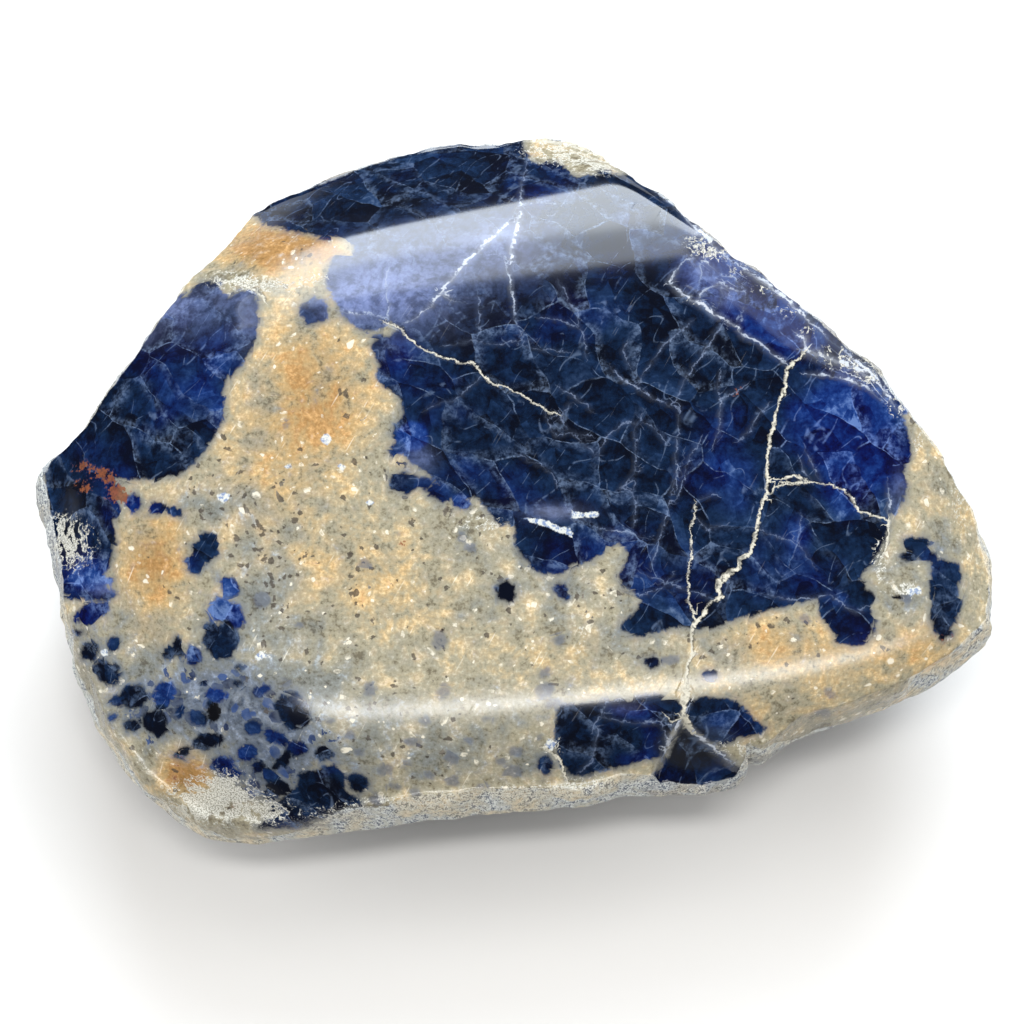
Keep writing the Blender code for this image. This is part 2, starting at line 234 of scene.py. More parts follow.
# Blue crystals scattered in the matrix: centre, half length, half width, tilt in degrees,
# and tone from black at -0.6 through navy to bright at 0.6
BLUE_CRYSTALS = [
    (313, 309, 14, 12, 0, 0.1), (134, 504, 9, 8, 0, 0.2), (157, 508, 8, 5, 10, 0.2),
    (174, 511, 11, 6, 25, 0.1), (206, 549, 15, 14, -30, -0.1), (194, 562, 10, 9, 0, 0.1),
    (104, 552, 22, 10, 85, -0.1), (88, 652, 10, 10, 0, -0.1), (92, 613, 19, 8, -25, 0.2),
    (80, 633, 7, 5, 0, 0.0), (108, 672, 13, 11, 20, -0.1), (114, 644, 5, 5, 0, 0.1),
    (134, 697, 14, 12, 0, -0.3), (165, 694, 15, 10, -45, 0.3), (155, 722, 15, 14, 20, -0.35),
    (131, 726, 9, 7, 0, -0.25), (181, 712, 5, 6, 0, 0.1), (200, 718, 13, 9, 20, 0.2),
    # the black one at (213, 712) darkens the same hollow as painted shade
    (213, 712, 11, 5, 70, -0.7), (208, 741, 14, 8, -20, -0.3), (184, 752, 7, 4, -30, -0.3),
    (217, 696, 10, 8, 0, 0.25), (168, 653, 6, 5, 0, -0.2), (179, 648, 9, 4, 80, -0.5),
    (193, 657, 14, 9, 85, 0.15), (226, 614, 19, 14, 20, 0.32), (219, 639, 19, 17, 40, -0.2),
    (229, 587, 11, 7, 30, 0.3), (239, 668, 4, 4, 0, -0.4), (205, 681, 4, 3, 0, -0.1),
    (238, 683, 6, 4, 0, -0.2), (292, 711, 19, 15, 60, -0.15), (263, 690, 10, 5, -25, 0.15),
    (253, 727, 8, 6, 0, 0.1), (276, 738, 13, 6, 35, 0.2), (248, 753, 8, 7, 0, 0.2),
    (279, 763, 13, 6, -45, -0.4), (222, 764, 11, 7, 10, 0.1), (233, 775, 10, 6, 0, 0.15),
    (276, 791, 12, 9, 0, -0.3), (325, 753, 8, 7, 0, -0.35), (357, 783, 10, 9, 0, 0.0),
    (333, 783, 6, 6, 0, -0.3), (92, 579, 20, 9, 10, 0.5), (117, 703, 7, 5, 0, 0.1),
    (114, 717, 6, 5, 0, 0.1), (258, 768, 7, 6, 0, 0.1), (297, 748, 9, 6, 20, 0.2),
    (270, 775, 8, 5, 0, 0.25), (545, 767, 12, 9, 80, 0.0), (507, 592, 9, 9, 0, -0.3),
    (561, 590, 8, 5, 60, 0.0), (652, 662, 8, 7, 0, 0.1), (708, 675, 7, 5, 0, 0.1),
    (404, 482, 14, 12, 0, 0.0), (425, 483, 8, 8, 0, 0.1), (438, 493, 13, 10, 20, 0.1),
    (918, 543, 14, 9, 0, -0.1), (862, 598, 12, 9, 0, -0.1), (848, 618, 13, 12, 0, 0.0),
    (412, 437, 14, 12, 0, 0.3), (398, 450, 8, 7, 0, 0.1), (462, 503, 10, 7, 20, 0.2),
    (836, 598, 10, 7, 10, 0.1), (908, 556, 7, 5, 0, -0.2), (930, 556, 10, 6, 20, 0.0),
]

# Hazy grey-blue grains lying under the polish
HAZY_CRYSTALS = [
    (287, 425, 5, 5, 0), (366, 566, 6, 5, 0), (398, 533, 4, 3, 0), (300, 625, 5, 4, 0),
    (461, 537, 5, 4, 0), (472, 549, 6, 5, 0), (560, 640, 9, 8, 0), (545, 672, 9, 5, -50),
    (443, 692, 9, 7, 0), (388, 769, 8, 7, 0), (452, 757, 7, 6, 0), (514, 772, 10, 8, 0),
    (453, 780, 6, 5, 0), (412, 742, 8, 4, 0), (518, 752, 9, 6, 0), (540, 737, 5, 5, 0),
    (824, 712, 8, 5, 10), (832, 694, 8, 5, 30), (804, 618, 8, 6, 0), (480, 786, 7, 6, 0),
    (395, 787, 10, 6, 0), (350, 735, 6, 4, 0), (372, 690, 9, 6, 0), (405, 768, 7, 5, 0),
    (905, 598, 9, 5, 0), (545, 690, 10, 8, 0), (670, 660, 9, 4, 0), (440, 640, 8, 8, 0),
    (430, 775, 6, 5, 0), (470, 740, 7, 5, 0), (500, 760, 6, 5, 0), (425, 720, 6, 4, 0),
    (486, 718, 7, 5, 0), (415, 795, 6, 5, 0), (550, 705, 8, 7, 0), (262, 600, 9, 7, 0),
    (285, 680, 6, 5, 0), (330, 720, 5, 4, 0), (360, 752, 7, 5, 0), (375, 800, 8, 6, 0),
]

# Cream-filled cracks: each point is across, down and half width
CREAM_CRACKS = {
    "main": [(806, 350, 1.2), (801, 357, 2.0), (793, 363, 3.0), (787, 370, 2.5), (786, 381, 1.8),
        (784, 392, 3.0), (779, 400, 1.6), (776, 411, 1.6), (773, 425, 2.8), (770, 440, 2.6),
        (767, 455, 2.0), (767, 470, 2.4), (768, 485, 2.6), (765, 497, 2.8), (760, 510, 2.0),
        (757, 525, 2.4), (755, 540, 2.0), (750, 551, 2.8), (741, 560, 4.0), (738, 568, 3.6),
        (729, 574, 3.8), (720, 581, 5.0), (718, 590, 3.8), (721, 597, 3.0), (712, 603, 2.4),
        (704, 612, 2.8), (698, 620, 3.2), (693, 626, 2.8), (692, 640, 2.0), (692, 652, 2.4),
        (688, 663, 1.8), (686, 675, 2.0), (685, 688, 5.0), (685, 694, 8.0), (684, 703, 5.0),
        (683, 712, 2.0), (686, 719, 5.0), (687, 725, 8.0), (690, 729, 4.0)],
    "long": [(385, 322, 1.2), (395, 326, 1.4), (402, 328, 2.0), (408, 338, 1.6), (418, 345, 1.4),
        (430, 353, 1.2), (445, 358, 1.2), (458, 362, 1.0), (472, 363, 1.2), (478, 368, 1.8),
        (483, 376, 1.6), (492, 384, 1.1), (505, 388, 1.1), (520, 393, 1.2), (530, 400, 1.3),
        (540, 407, 1.2), (550, 412, 1.2), (557, 414, 0.8)],
    "fork": [(768, 478, 1.2), (778, 480, 1.4), (790, 477, 1.4), (800, 478, 1.2), (809, 480, 0.8)],
    "branch": [(768, 496, 1.4), (775, 488, 1.4), (785, 484, 1.4), (800, 483, 1.2), (815, 482, 1.2),
        (830, 484, 1.2), (840, 489, 1.6), (850, 493, 1.4), (855, 503, 1.2), (858, 512, 1.4),
        (868, 514, 1.2), (878, 518, 1.4), (888, 521, 1.2)],
    "thin": [(695, 505, 0.7), (694, 518, 0.9), (690, 530, 0.9), (692, 550, 1.0), (690, 562, 1.0),
        (688, 580, 1.2), (689, 600, 1.2), (692, 612, 1.2), (693, 625, 1.6)],
    "front edge": [(545, 748, 2.6), (553, 752, 2.4), (560, 762, 2.0), (564, 774, 1.6),
        (567, 783, 1.2)],
    "front seam": [(666, 716, 1.0), (672, 722, 1.2), (680, 718, 1.6)],
    "right stub": [(880, 560, 0.8), (886, 548, 2.2), (888, 536, 1.6), (889, 521, 1.2)],
    "upper left edge": [(244, 286, 1.4), (258, 291, 2.0), (264, 300, 1.6)],
}

# Pale healed fractures in the blue: those round the broken places, and the others
PALE_VEINS = {
    "ledge": [(670, 283, 1.7), (683, 295, 1.8), (697, 302, 2.2), (712, 313, 2.1), (725, 320, 1.8),
        (737, 326, 2.0), (742, 335, 1.7), (757, 342, 1.7), (770, 352, 1.6), (785, 363, 1.7)],
    "ledge lobe": [(670, 282, 2.1), (675, 272, 1.7), (683, 262, 1.4), (697, 257, 1.5),
        (706, 262, 1.7), (718, 270, 1.3), (722, 277, 1.1), (733, 277, 1.5), (744, 288, 1.3)],
    "ledge second lobe": [(696, 300, 1.7), (706, 290, 1.5), (720, 283, 1.6), (735, 290, 1.6),
        (746, 292, 1.3), (746, 305, 1.3), (741, 320, 1.3)],
    "upper right edge": [(614, 153, 1.2), (648, 184, 1.4), (677, 210, 1.4), (706, 237, 2.4),
        (728, 259, 1.4), (766, 283, 2.0), (791, 303, 2.4), (815, 327, 1.6), (840, 347, 1.2),
        (862, 367, 2.2), (886, 385, 1.8)],
    "ledge hairs": [(697, 259, 1.2), (702, 272, 1.4), (698, 285, 1.0)],
    "ledge hairs two": [(720, 284, 1.2), (724, 296, 1.4), (718, 308, 1.0)],
    "ledge low": [(804, 350, 2.1), (820, 354, 2.7), (838, 361, 2.4), (856, 368, 2.9),
        (868, 376, 2.4), (880, 386, 1.9), (890, 398, 2.2), (898, 410, 1.6)],
    "ledge low inner": [(806, 374, 1.4), (822, 375, 1.8), (838, 377, 1.6), (852, 381, 2.0),
        (868, 388, 1.8), (882, 400, 1.4)],
    "edge above": [(806, 350, 2.4), (804, 338, 2.0), (797, 334, 1.6)],
    "shard seam": [(666, 750, 2.2), (671, 737, 2.4), (680, 722, 2.0), (688, 707, 1.6)],
    "shard seam right": [(690, 730, 2.4), (703, 740, 2.4), (718, 752, 2.0), (730, 762, 1.8)],
    "back": [(527, 160, 0.8), (524, 176, 1.2), (521, 190, 1.4), (520, 204, 1.6), (513, 217, 1.4),
        (500, 228, 1.2)],
}
HEALED_FRACTURES = [
    [(557, 414, 0.8), (564, 424, 0.9), (575, 436, 0.8), (588, 447, 0.8), (598, 458, 0.6)],
    [(612, 368, 0.8), (618, 377, 1.2), (630, 385, 1.4), (640, 390, 1.2), (650, 396, 1.2),
     (660, 402, 1.0), (672, 405, 1.2), (679, 411, 0.8)],
    [(679, 405, 0.9), (680, 420, 1.1), (677, 440, 1.0), (676, 456, 1.2), (677, 475, 1.3),
     (670, 500, 1.0), (664, 525, 1.2), (656, 548, 1.0), (652, 566, 0.8)],
    [(560, 283, 1.0), (566, 295, 1.0), (570, 305, 0.9), (577, 313, 1.0), (579, 326, 0.9),
     (584, 340, 0.8), (586, 356, 0.7)],
    [(500, 345, 0.8), (515, 341, 0.9), (532, 339, 0.8)],
    [(540, 318, 0.7), (556, 319, 1.0), (572, 326, 0.9), (580, 327, 0.7)],
    [(724, 322, 0.9), (715, 334, 1.2), (708, 346, 1.2), (696, 362, 1.1), (686, 378, 1.2),
     (679, 394, 1.1), (673, 405, 0.8)],
    [(692, 322, 0.8), (677, 334, 1.0), (663, 345, 1.2), (656, 358, 1.0), (645, 371, 1.0),
     (639, 384, 0.7)],
    [(626, 344, 0.7), (622, 352, 1.0), (629, 364, 0.7)],
    [(640, 418, 0.8), (635, 432, 1.1), (636, 450, 1.0), (635, 470, 1.0), (634, 490, 0.8)],
    [(598, 452, 0.8), (608, 437, 0.9), (620, 426, 0.9), (640, 420, 0.8), (655, 428, 0.8),
     (664, 442, 0.7)],
    [(598, 528, 0.8), (615, 531, 1.4), (632, 534, 1.2), (643, 537, 0.8)],
    [(640, 572, 0.8), (652, 578, 0.9), (665, 582, 0.9), (680, 588, 0.9), (700, 594, 1.0),
     (716, 600, 0.8)],
    [(760, 530, 0.8), (775, 536, 0.9), (790, 541, 0.8), (805, 549, 0.9), (814, 566, 0.8)],
    [(888, 483, 1.0), (889, 500, 1.6), (889, 521, 1.6)],
    [(735, 322, 1.2), (744, 312, 1.0), (747, 297, 0.9), (742, 285, 0.8)],
    [(505, 262, 1.4), (511, 285, 1.8), (513, 302, 1.6), (515, 320, 1.2), (522, 336, 0.8)],
    [(478, 296, 0.9), (479, 318, 1.0), (478, 335, 0.7)],
    [(520, 215, 1.8), (516, 230, 2.2), (512, 246, 2.2), (511, 262, 2.0)],
    [(425, 410, 0.6), (440, 402, 0.8), (455, 400, 0.8), (470, 387, 0.8), (480, 378, 0.8)],
    [(445, 346, 0.6), (470, 340, 0.9), (500, 345, 0.8)],
    [(546, 412, 0.9), (549, 426, 1.0), (557, 436, 0.8), (572, 432, 0.7), (590, 436, 0.8)],
    [(520, 455, 0.6), (535, 462, 0.9), (550, 470, 0.7), (556, 484, 0.6)],
    [(560, 388, 0.7), (572, 395, 1.3), (584, 404, 1.0), (592, 410, 0.6)],
    [(570, 405, 0.8), (562, 414, 0.8), (550, 418, 0.6)],
    [(720, 374, 0.7), (718, 392, 1.0), (721, 410, 1.4), (720, 430, 1.4), (713, 446, 0.8)],
    [(745, 385, 0.9), (735, 392, 1.0), (724, 396, 0.8)],
    [(768, 405, 0.7), (757, 416, 1.2), (750, 432, 1.0), (738, 440, 0.8)],
    [(640, 470, 0.7), (620, 488, 1.0), (632, 492, 0.9), (636, 506, 1.1), (634, 525, 0.9)],
    [(805, 448, 0.8), (810, 460, 1.2), (816, 472, 1.2), (822, 482, 0.8)],
    [(695, 505, 0.8), (701, 498, 1.0), (712, 495, 1.0), (716, 496, 0.6)],
    [(595, 728, 1.0), (601, 714, 1.2), (606, 703, 1.2), (620, 700, 0.8)],
    [(601, 716, 1.0), (622, 722, 1.0), (645, 723, 1.2), (660, 722, 1.2), (668, 716, 1.0)],
    [(660, 722, 1.0), (666, 734, 1.4), (666, 748, 1.4), (660, 762, 1.2)],
    [(598, 730, 0.9), (596, 745, 1.1), (592, 760, 1.0), (580, 772, 0.8)],
    [(400, 325, 1.2), (412, 320, 1.6), (428, 308, 1.8), (442, 292, 2.2), (450, 280, 2.0),
     (465, 264, 2.0), (480, 249, 2.2), (494, 236, 2.2), (508, 224, 2.0)],
    [(388, 322, 1.4), (389, 306, 1.6), (386, 290, 1.4), (388, 272, 1.4)],
    [(340, 310, 1.6), (356, 314, 1.8), (370, 314, 1.4), (384, 318, 1.4)],
    [(442, 292, 2.4), (452, 300, 1.6), (462, 302, 1.0)],
    [(800, 520, 0.7), (798, 540, 0.9), (806, 556, 0.8)],
    [(770, 595, 0.8), (790, 600, 1.2), (815, 598, 1.4), (830, 594, 1.0)],
    [(830, 594, 1.0), (845, 607, 1.2), (858, 612, 1.0), (866, 608, 0.8)],
    [(520, 345, 0.6), (545, 350, 0.8), (566, 352, 0.6)],
    [(700, 440, 0.8), (690, 456, 1.0), (684, 478, 1.0), (676, 500, 0.9)],
    [(725, 525, 0.7), (708, 530, 0.9), (698, 520, 0.7)],
    [(620, 588, 0.8), (640, 596, 1.0), (662, 588, 1.0), (672, 575, 0.8)],
    [(810, 480, 1.0), (803, 470, 1.2), (800, 460, 0.8)],
]

# Flakes of white along fresh breaks; the two long ones near the middle are partly a painted glint off
# small broken facets
WHITE_FLAKES_AND_GLINTS = [
    [(571, 510), (580, 512), (600, 511), (600, 518), (586, 517), (572, 518)],
    [(523, 518), (545, 521), (560, 526), (576, 533), (574, 537), (566, 533), (556, 530), (540, 524)],
    [(216, 496), (224, 493), (231, 496), (225, 503)],
    [(321, 440), (325, 434), (331, 439), (327, 444)],
    [(364, 502), (372, 499), (376, 504), (369, 507)],
    [(338, 466), (343, 463), (348, 468), (343, 471)],
    [(254, 657), (260, 651), (266, 656), (258, 660)],
    [(100, 652), (106, 650), (107, 656)],
    [(285, 467), (290, 463), (292, 468)],
    [(549, 738), (556, 744), (552, 752), (545, 745)],
    [(905, 590), (918, 586), (921, 592), (910, 596)],
]

# Soft shifts of tone over the face, some of them painted shade or sheen as noted at each: centre,
# radii and amount
VIVID = [
    (715, 272, 34, 22, 0.35), (762, 310, 36, 22, 0.35), (802, 340, 30, 18, 0.45),
    (860, 430, 50, 60, 0.55), (825, 405, 28, 30, 0.15), (850, 470, 50, 30, 0.15),
    (735, 470, 26, 60, 0.16), (805, 540, 20, 28, 0.22), (745, 400, 30, 28, 0.08),
    (610, 315, 34, 20, 0.18), (395, 362, 26, 30, 0.20), (215, 350, 30, 50, 0.22),
    (150, 385, 50, 40, 0.08), (415, 435, 18, 20, 0.20), (560, 545, 45, 22, 0.10),
    (645, 550, 22, 22, 0.12), (628, 710, 26, 8, 0.34), (650, 738, 12, 24, 0.20),
    (725, 718, 30, 14, 0.18), (635, 758, 24, 9, 0.30), (580, 748, 18, 26, -0.45),
    (625, 740, 16, 14, -0.25), (585, 714, 22, 7, -0.45), (700, 705, 12, 8, -0.2),
    (692, 755, 20, 16, -0.35), (700, 275, 30, 18, 0.25), (725, 300, 22, 18, 0.15),
    (770, 325, 34, 24, 0.30), (440, 465, 40, 18, 0.10), (500, 480, 60, 24, 0.06),
    (580, 600, 400, 30, 0.04), (95, 575, 30, 18, 0.35), (240, 760, 24, 20, 0.10),
    (715, 775, 30, 14, 0.10), (790, 430, 18, 28, 0.14), (780, 580, 40, 20, 0.10),
    (690, 560, 20, 40, 0.05), (690, 360, 60, 45, -0.22), (590, 440, 60, 60, -0.16),
    (430, 330, 50, 30, -0.10), (560, 380, 50, 30, -0.14), (455, 410, 50, 40, -0.08),
    (820, 530, 14, 32, -0.25), (790, 480, 22, 16, -0.28), (640, 620, 24, 14, -0.15),
    (165, 455, 50, 22, -0.15), (870, 560, 20, 24, -0.18), (370, 200, 130, 30, -0.10),
    (740, 350, 30, 12, -0.20), (325, 797, 30, 18, -0.15), (945, 600, 16, 40, -0.08),
    (75, 500, 30, 22, -0.20), (510, 190, 60, 30, 0.05),
]
# Warmer browns of the matrix; the entry at (275, 248) is painted shade that darkens the upper-left
# bevel
WARM_AND_SHADE = [
    (540, 152, 24, 12, 0.2), (695, 750, 14, 10, 0.3), (305, 360, 50, 70, 0.55),
    (285, 440, 70, 60, 0.45), (340, 400, 45, 50, 0.35), (275, 248, 60, 26, 1.35),
    (325, 250, 22, 14, 0.35), (153, 560, 34, 50, 1.0), (330, 560, 100, 60, 0.26),
    (400, 590, 90, 50, 0.14), (560, 660, 60, 26, 0.16), (185, 775, 26, 22, 1.25),
    (850, 655, 110, 26, 0.40), (770, 640, 60, 26, 0.40), (860, 700, 110, 26, 0.10),
    (930, 490, 24, 50, 0.20), (965, 530, 20, 50, 0.15), (760, 705, 60, 30, 0.25),
    (600, 640, 40, 20, 0.12), (500, 640, 60, 40, 0.06), (150, 640, 30, 30, 0.25),
    (250, 500, 60, 40, 0.20), (920, 640, 40, 20, 0.35), (895, 585, 20, 20, 0.10),
    (430, 620, 60, 30, 0.05),
]
# Grey in the matrix; the entry at (290, 250) is painted shade that darkens the upper-left bevel
GREY_AND_SHADE = [
    (290, 250, 50, 22, 0.25), (940, 520, 30, 60, 0.25), (235, 520, 60, 50, 0.35),
    (265, 600, 50, 60, 0.70), (190, 500, 60, 16, 0.55), (330, 690, 70, 40, 0.55),
    (560, 590, 80, 30, 0.55), (480, 545, 40, 30, 0.40), (420, 750, 140, 40, 0.70),
    (270, 740, 60, 60, 0.95), (160, 700, 70, 50, 0.90), (640, 640, 70, 24, 0.55),
    (250, 390, 16, 80, 0.30), (390, 430, 16, 60, 0.25), (120, 620, 30, 60, 0.35),
    (500, 700, 60, 20, 0.30), (920, 600, 40, 40, 0.45), (880, 570, 20, 20, 0.45),
    (230, 680, 60, 40, 0.60), (540, 760, 30, 20, 0.30), (720, 650, 30, 20, 0.30),
    (450, 640, 60, 30, 0.20), (930, 545, 30, 16, 0.35),
]
BLUE_HAZE = [
    (270, 740, 50, 50, 0.75), (170, 705, 60, 40, 0.60), (230, 690, 40, 30, 0.55),
    (100, 640, 24, 40, 0.35), (330, 760, 50, 30, 0.25), (250, 790, 40, 20, 0.45),
    (445, 765, 80, 26, 0.12), (560, 700, 24, 30, 0.30), (920, 545, 26, 14, 0.45),
    (855, 600, 24, 24, 0.35), (640, 560, 20, 24, 0.20), (410, 470, 24, 16, 0.40),
    (215, 590, 30, 20, 0.30), (820, 705, 24, 12, 0.12), (905, 598, 16, 10, 0.30),
]
SPECK_CLOUDS = [
    (262, 590, 22, 44, 1.0), (235, 500, 40, 50, 0.45), (270, 540, 40, 40, 0.45),
    (430, 640, 40, 20, 0.35), (500, 545, 40, 40, 0.55), (370, 690, 40, 20, 0.45),
    (330, 560, 120, 100, 0.22), (600, 600, 90, 30, 0.35), (640, 620, 40, 20, 0.30),
    (470, 510, 30, 16, 0.55), (800, 620, 40, 16, 0.50), (300, 640, 50, 40, 0.25),
    (420, 750, 120, 40, 0.20), (700, 640, 60, 16, 0.30),
]
RUST = [
    (118, 493, 11, 11, 1.2), (104, 474, 12, 8, 0.8), (82, 466, 12, 7, 0.7), (84, 486, 12, 7, 0.7),
    (180, 772, 22, 18, 0.35), (233, 806, 8, 6, 0.9), (740, 392, 10, 8, 0.35),
    (405, 545, 10, 7, 0.45), (325, 248, 20, 12, 0.35), (940, 640, 18, 8, 0.45),
    (790, 690, 60, 8, 0.10), (445, 628, 8, 8, 0.30),
]
WHITE_CRUST = [
    (715, 254, 14, 8, 0.6), (738, 271, 14, 8, 0.4), (762, 290, 14, 8, 0.4), (786, 311, 14, 8, 0.4),
    (810, 331, 14, 8, 0.4), (834, 352, 14, 8, 0.6), (870, 378, 12, 8, 0.6), (896, 406, 10, 12, 0.6),
    (918, 440, 8, 16, 0.4), (230, 790, 20, 16, 0.8), (270, 806, 18, 12, 0.6),
    (200, 812, 20, 10, 0.7), (740, 748, 30, 8, 0.7), (600, 785, 50, 10, 0.5), (690, 300, 8, 6, 0.4),
    (70, 545, 22, 24, 1.0), (60, 525, 12, 10, 0.5), (215, 795, 34, 20, 0.9),
    (250, 815, 34, 12, 0.8), (190, 800, 24, 16, 0.6), (560, 152, 34, 12, 0.9),
    (600, 166, 24, 9, 0.8), (233, 280, 26, 8, 0.9), (275, 286, 30, 7, 0.7), (312, 278, 18, 7, 0.6),
    (700, 245, 16, 12, 0.6), (880, 560, 8, 26, 0.6), (905, 590, 16, 10, 0.6),
    (480, 525, 26, 10, 0.55), (262, 655, 12, 5, 0.7), (552, 745, 10, 10, 0.7),
    (580, 645, 6, 34, 0.35), (960, 500, 12, 60, 0.35), (850, 365, 30, 8, 0.45),
    (420, 804, 60, 9, 0.75), (520, 794, 60, 9, 0.75), (350, 815, 40, 9, 0.6),
]
# Lavender-grey in the blue, partly a painted sheen: the blobs on the upper-left facet, at the left
# rim near (110, 588) and on the front ridge near (625, 708) paint a pale reflection
LAVENDER_AND_SHEEN = [
    (165, 305, 24, 12, 0.50), (140, 335, 16, 10, 0.35), (700, 275, 22, 14, 0.35),
    (722, 298, 16, 12, 0.30), (625, 708, 16, 6, 0.2), (385, 290, 60, 36, 0.85),
    (470, 255, 60, 30, 0.40), (345, 300, 22, 22, 0.40), (190, 310, 40, 26, 0.25),
    (230, 295, 20, 14, 0.30), (110, 588, 16, 6, 0.6), (420, 460, 14, 12, 0.35),
    (555, 512, 26, 8, 0.45), (900, 495, 8, 20, 0.35), (500, 235, 26, 14, 0.4),
    (250, 320, 12, 36, 0.25),
]
BARE_EDGE = [
    (790, 735, 40, 16, 1.0), (850, 720, 40, 16, 1.0), (905, 700, 40, 16, 1.0),
    (955, 672, 24, 14, 0.8), (240, 235, 30, 24, 0.6), (205, 265, 14, 14, 0.6),
    (90, 640, 24, 50, 0.7), (120, 720, 36, 50, 0.8), (170, 790, 40, 40, 0.8),
    (240, 830, 50, 30, 0.8), (340, 838, 60, 26, 0.7), (440, 832, 60, 24, 0.6),
    (540, 825, 60, 24, 0.4),
]
DULL = [
    (704, 248, 16, 13, 0.9), (722, 262, 26, 22, 1.0), (756, 290, 28, 22, 1.0),
    (790, 316, 28, 22, 1.0), (822, 342, 28, 20, 1.0), (856, 368, 26, 18, 0.8),
    (72, 505, 24, 34, 0.45), (75, 560, 24, 30, 0.45), (700, 748, 50, 26, 0.9),
    (250, 800, 40, 26, 0.8), (260, 310, 22, 16, 1.0), (555, 512, 40, 10, 0.5),
]
# Dark spots: mostly small hollows painted black as the shade inside them, with a few dark specks
PIT_SHADE_AND_SPECKS = [
    (214, 712, 8, 11, 1.0), (898, 597, 9, 3, 0.8), (672, 766, 8, 14, 0.35), (443, 630, 6, 7, 0.5),
    (452, 661, 3, 3, 0.5), (389, 617, 3, 2, 0.6), (262, 600, 12, 10, 0.3),
]

# The fields that the shader reads, three to a point attribute
FIELD_PACKS = [
    ("blue", "hazy", "flake"), ("vivid", "gem", "lavender"), ("warm", "grey", "haze"),
    ("specks", "rust", "crust"), ("down", "bare", "pits"), ("clouds", "drift", "crack_gap"),
    ("crack_side", "crack_width", "vein_gap"), ("vein_side", "vein_width", "dull"),
]


def srgb(red, green, blue):
    """A colour given as it looks on screen, 0 to 255, as linear values."""
    return tuple(((c / 255 + 0.055) / 1.055) ** 2.4 for c in (red, green, blue)) + (1.0,)


# Colours of the blue, from the deepest tone to the palest
STEEL_BLUES = [(0.0, srgb(1, 7, 21)), (0.16, srgb(3, 16, 36)), (0.36, srgb(9, 27, 52)),
               (0.56, srgb(18, 38, 67)), (0.76, srgb(34, 55, 87)), (1.0, srgb(80, 98, 126))]
ROYAL_BLUES = [(0.0, srgb(1, 3, 42)), (0.18, srgb(1, 11, 62)), (0.36, srgb(4, 24, 80)),
               (0.56, srgb(13, 40, 99)), (0.76, srgb(31, 60, 120)), (1.0, srgb(84, 110, 162))]
BREAK_BLUES = (srgb(104, 122, 150), srgb(112, 138, 196))
# lavender-grey, also the colour of the painted sheen
LAVENDER_AND_SHEEN_COLOURS = (srgb(84, 98, 138), srgb(132, 144, 188))

# Colours of the matrix, and how its grains lighten and darken them
TANS = [(0.0, srgb(165, 159, 137)), (0.35, srgb(177, 159, 124)), (0.7, srgb(181, 152, 106)),
        (1.0, srgb(164, 126, 78))]
MATRIX_GREY = srgb(131, 134, 129)
HAZES = (srgb(66, 80, 104), srgb(118, 126, 138))
GRAIN_SHADES = [(0.0, (0.40, 0.37, 0.34, 1.0)), (0.3, (0.78, 0.76, 0.72, 1.0)),
                (0.6, (0.97, 0.96, 0.95, 1.0)), (0.8, (1.24, 1.26, 1.32, 1.0)),
                (1.0, (1.6, 1.7, 1.9, 1.0))]
PALE_SPECK = srgb(228, 220, 200)
DARK_SPECKS = (srgb(38, 34, 34), srgb(96, 86, 76))
SMALL_CRYSTALS = (srgb(6, 18, 48), srgb(50, 74, 122))

# Colours of the rim, and of the marks that lie over blue and matrix, among them painted shade and
# glints: the shadow beside the cracks, the glint of the flakes and the dark inside small hollows
RIM_LIGHTS = (srgb(226, 229, 226), srgb(236, 230, 213))
RIM_DARKS = (srgb(82, 92, 110), srgb(120, 118, 112))
BLUE_BORDER = srgb(92, 100, 110)
HAZY_CRYSTAL = srgb(78, 86, 104)
RUSTS = (srgb(60, 44, 38), srgb(150, 86, 52))
VEINS = (srgb(124, 138, 166), srgb(186, 192, 202))
CRACK_SHADOW = srgb(8, 12, 20)
CREAMS = (srgb(160, 156, 140), srgb(232, 226, 208))
CRUSTS = (srgb(140, 138, 124), srgb(214, 212, 202))
FLAKE_AND_GLINT_COLOURS = (srgb(128, 146, 180), srgb(212, 214, 208))
PIT_SHADE_AND_SPECK = srgb(8, 9, 14)
FLOOR_COLOUR = srgb(232, 231, 229)

# Noise and cells to the millimetre, and the slant and stretch of what runs one way
GRAIN_SCALE = 3.2
MID_SCALE = 1.15
GRIT_SCALE = 8.0
CHIP_SCALE = 0.8
BLOCK_SCALE = 0.31
SPECK_SCALE = 2.1
BLOCK_SLANT = (-38.0, 1.5, 0.8)
WISP_SLANT = (56.0, 6.0, 2.2)
SCUFF_SLANT = (62.0, 2.6, 0.16)

# The surface: roughness polished and broken, relief of the rim and cracks in mm
MATRIX_ROUGHNESS = 0.20
BLUE_ROUGHNESS = 0.11
BROKEN_ROUGHNESS = 0.5
RIM_RELIEF = 0.11
CRACK_RELIEF = 0.015
STONE_IOR = 1.48


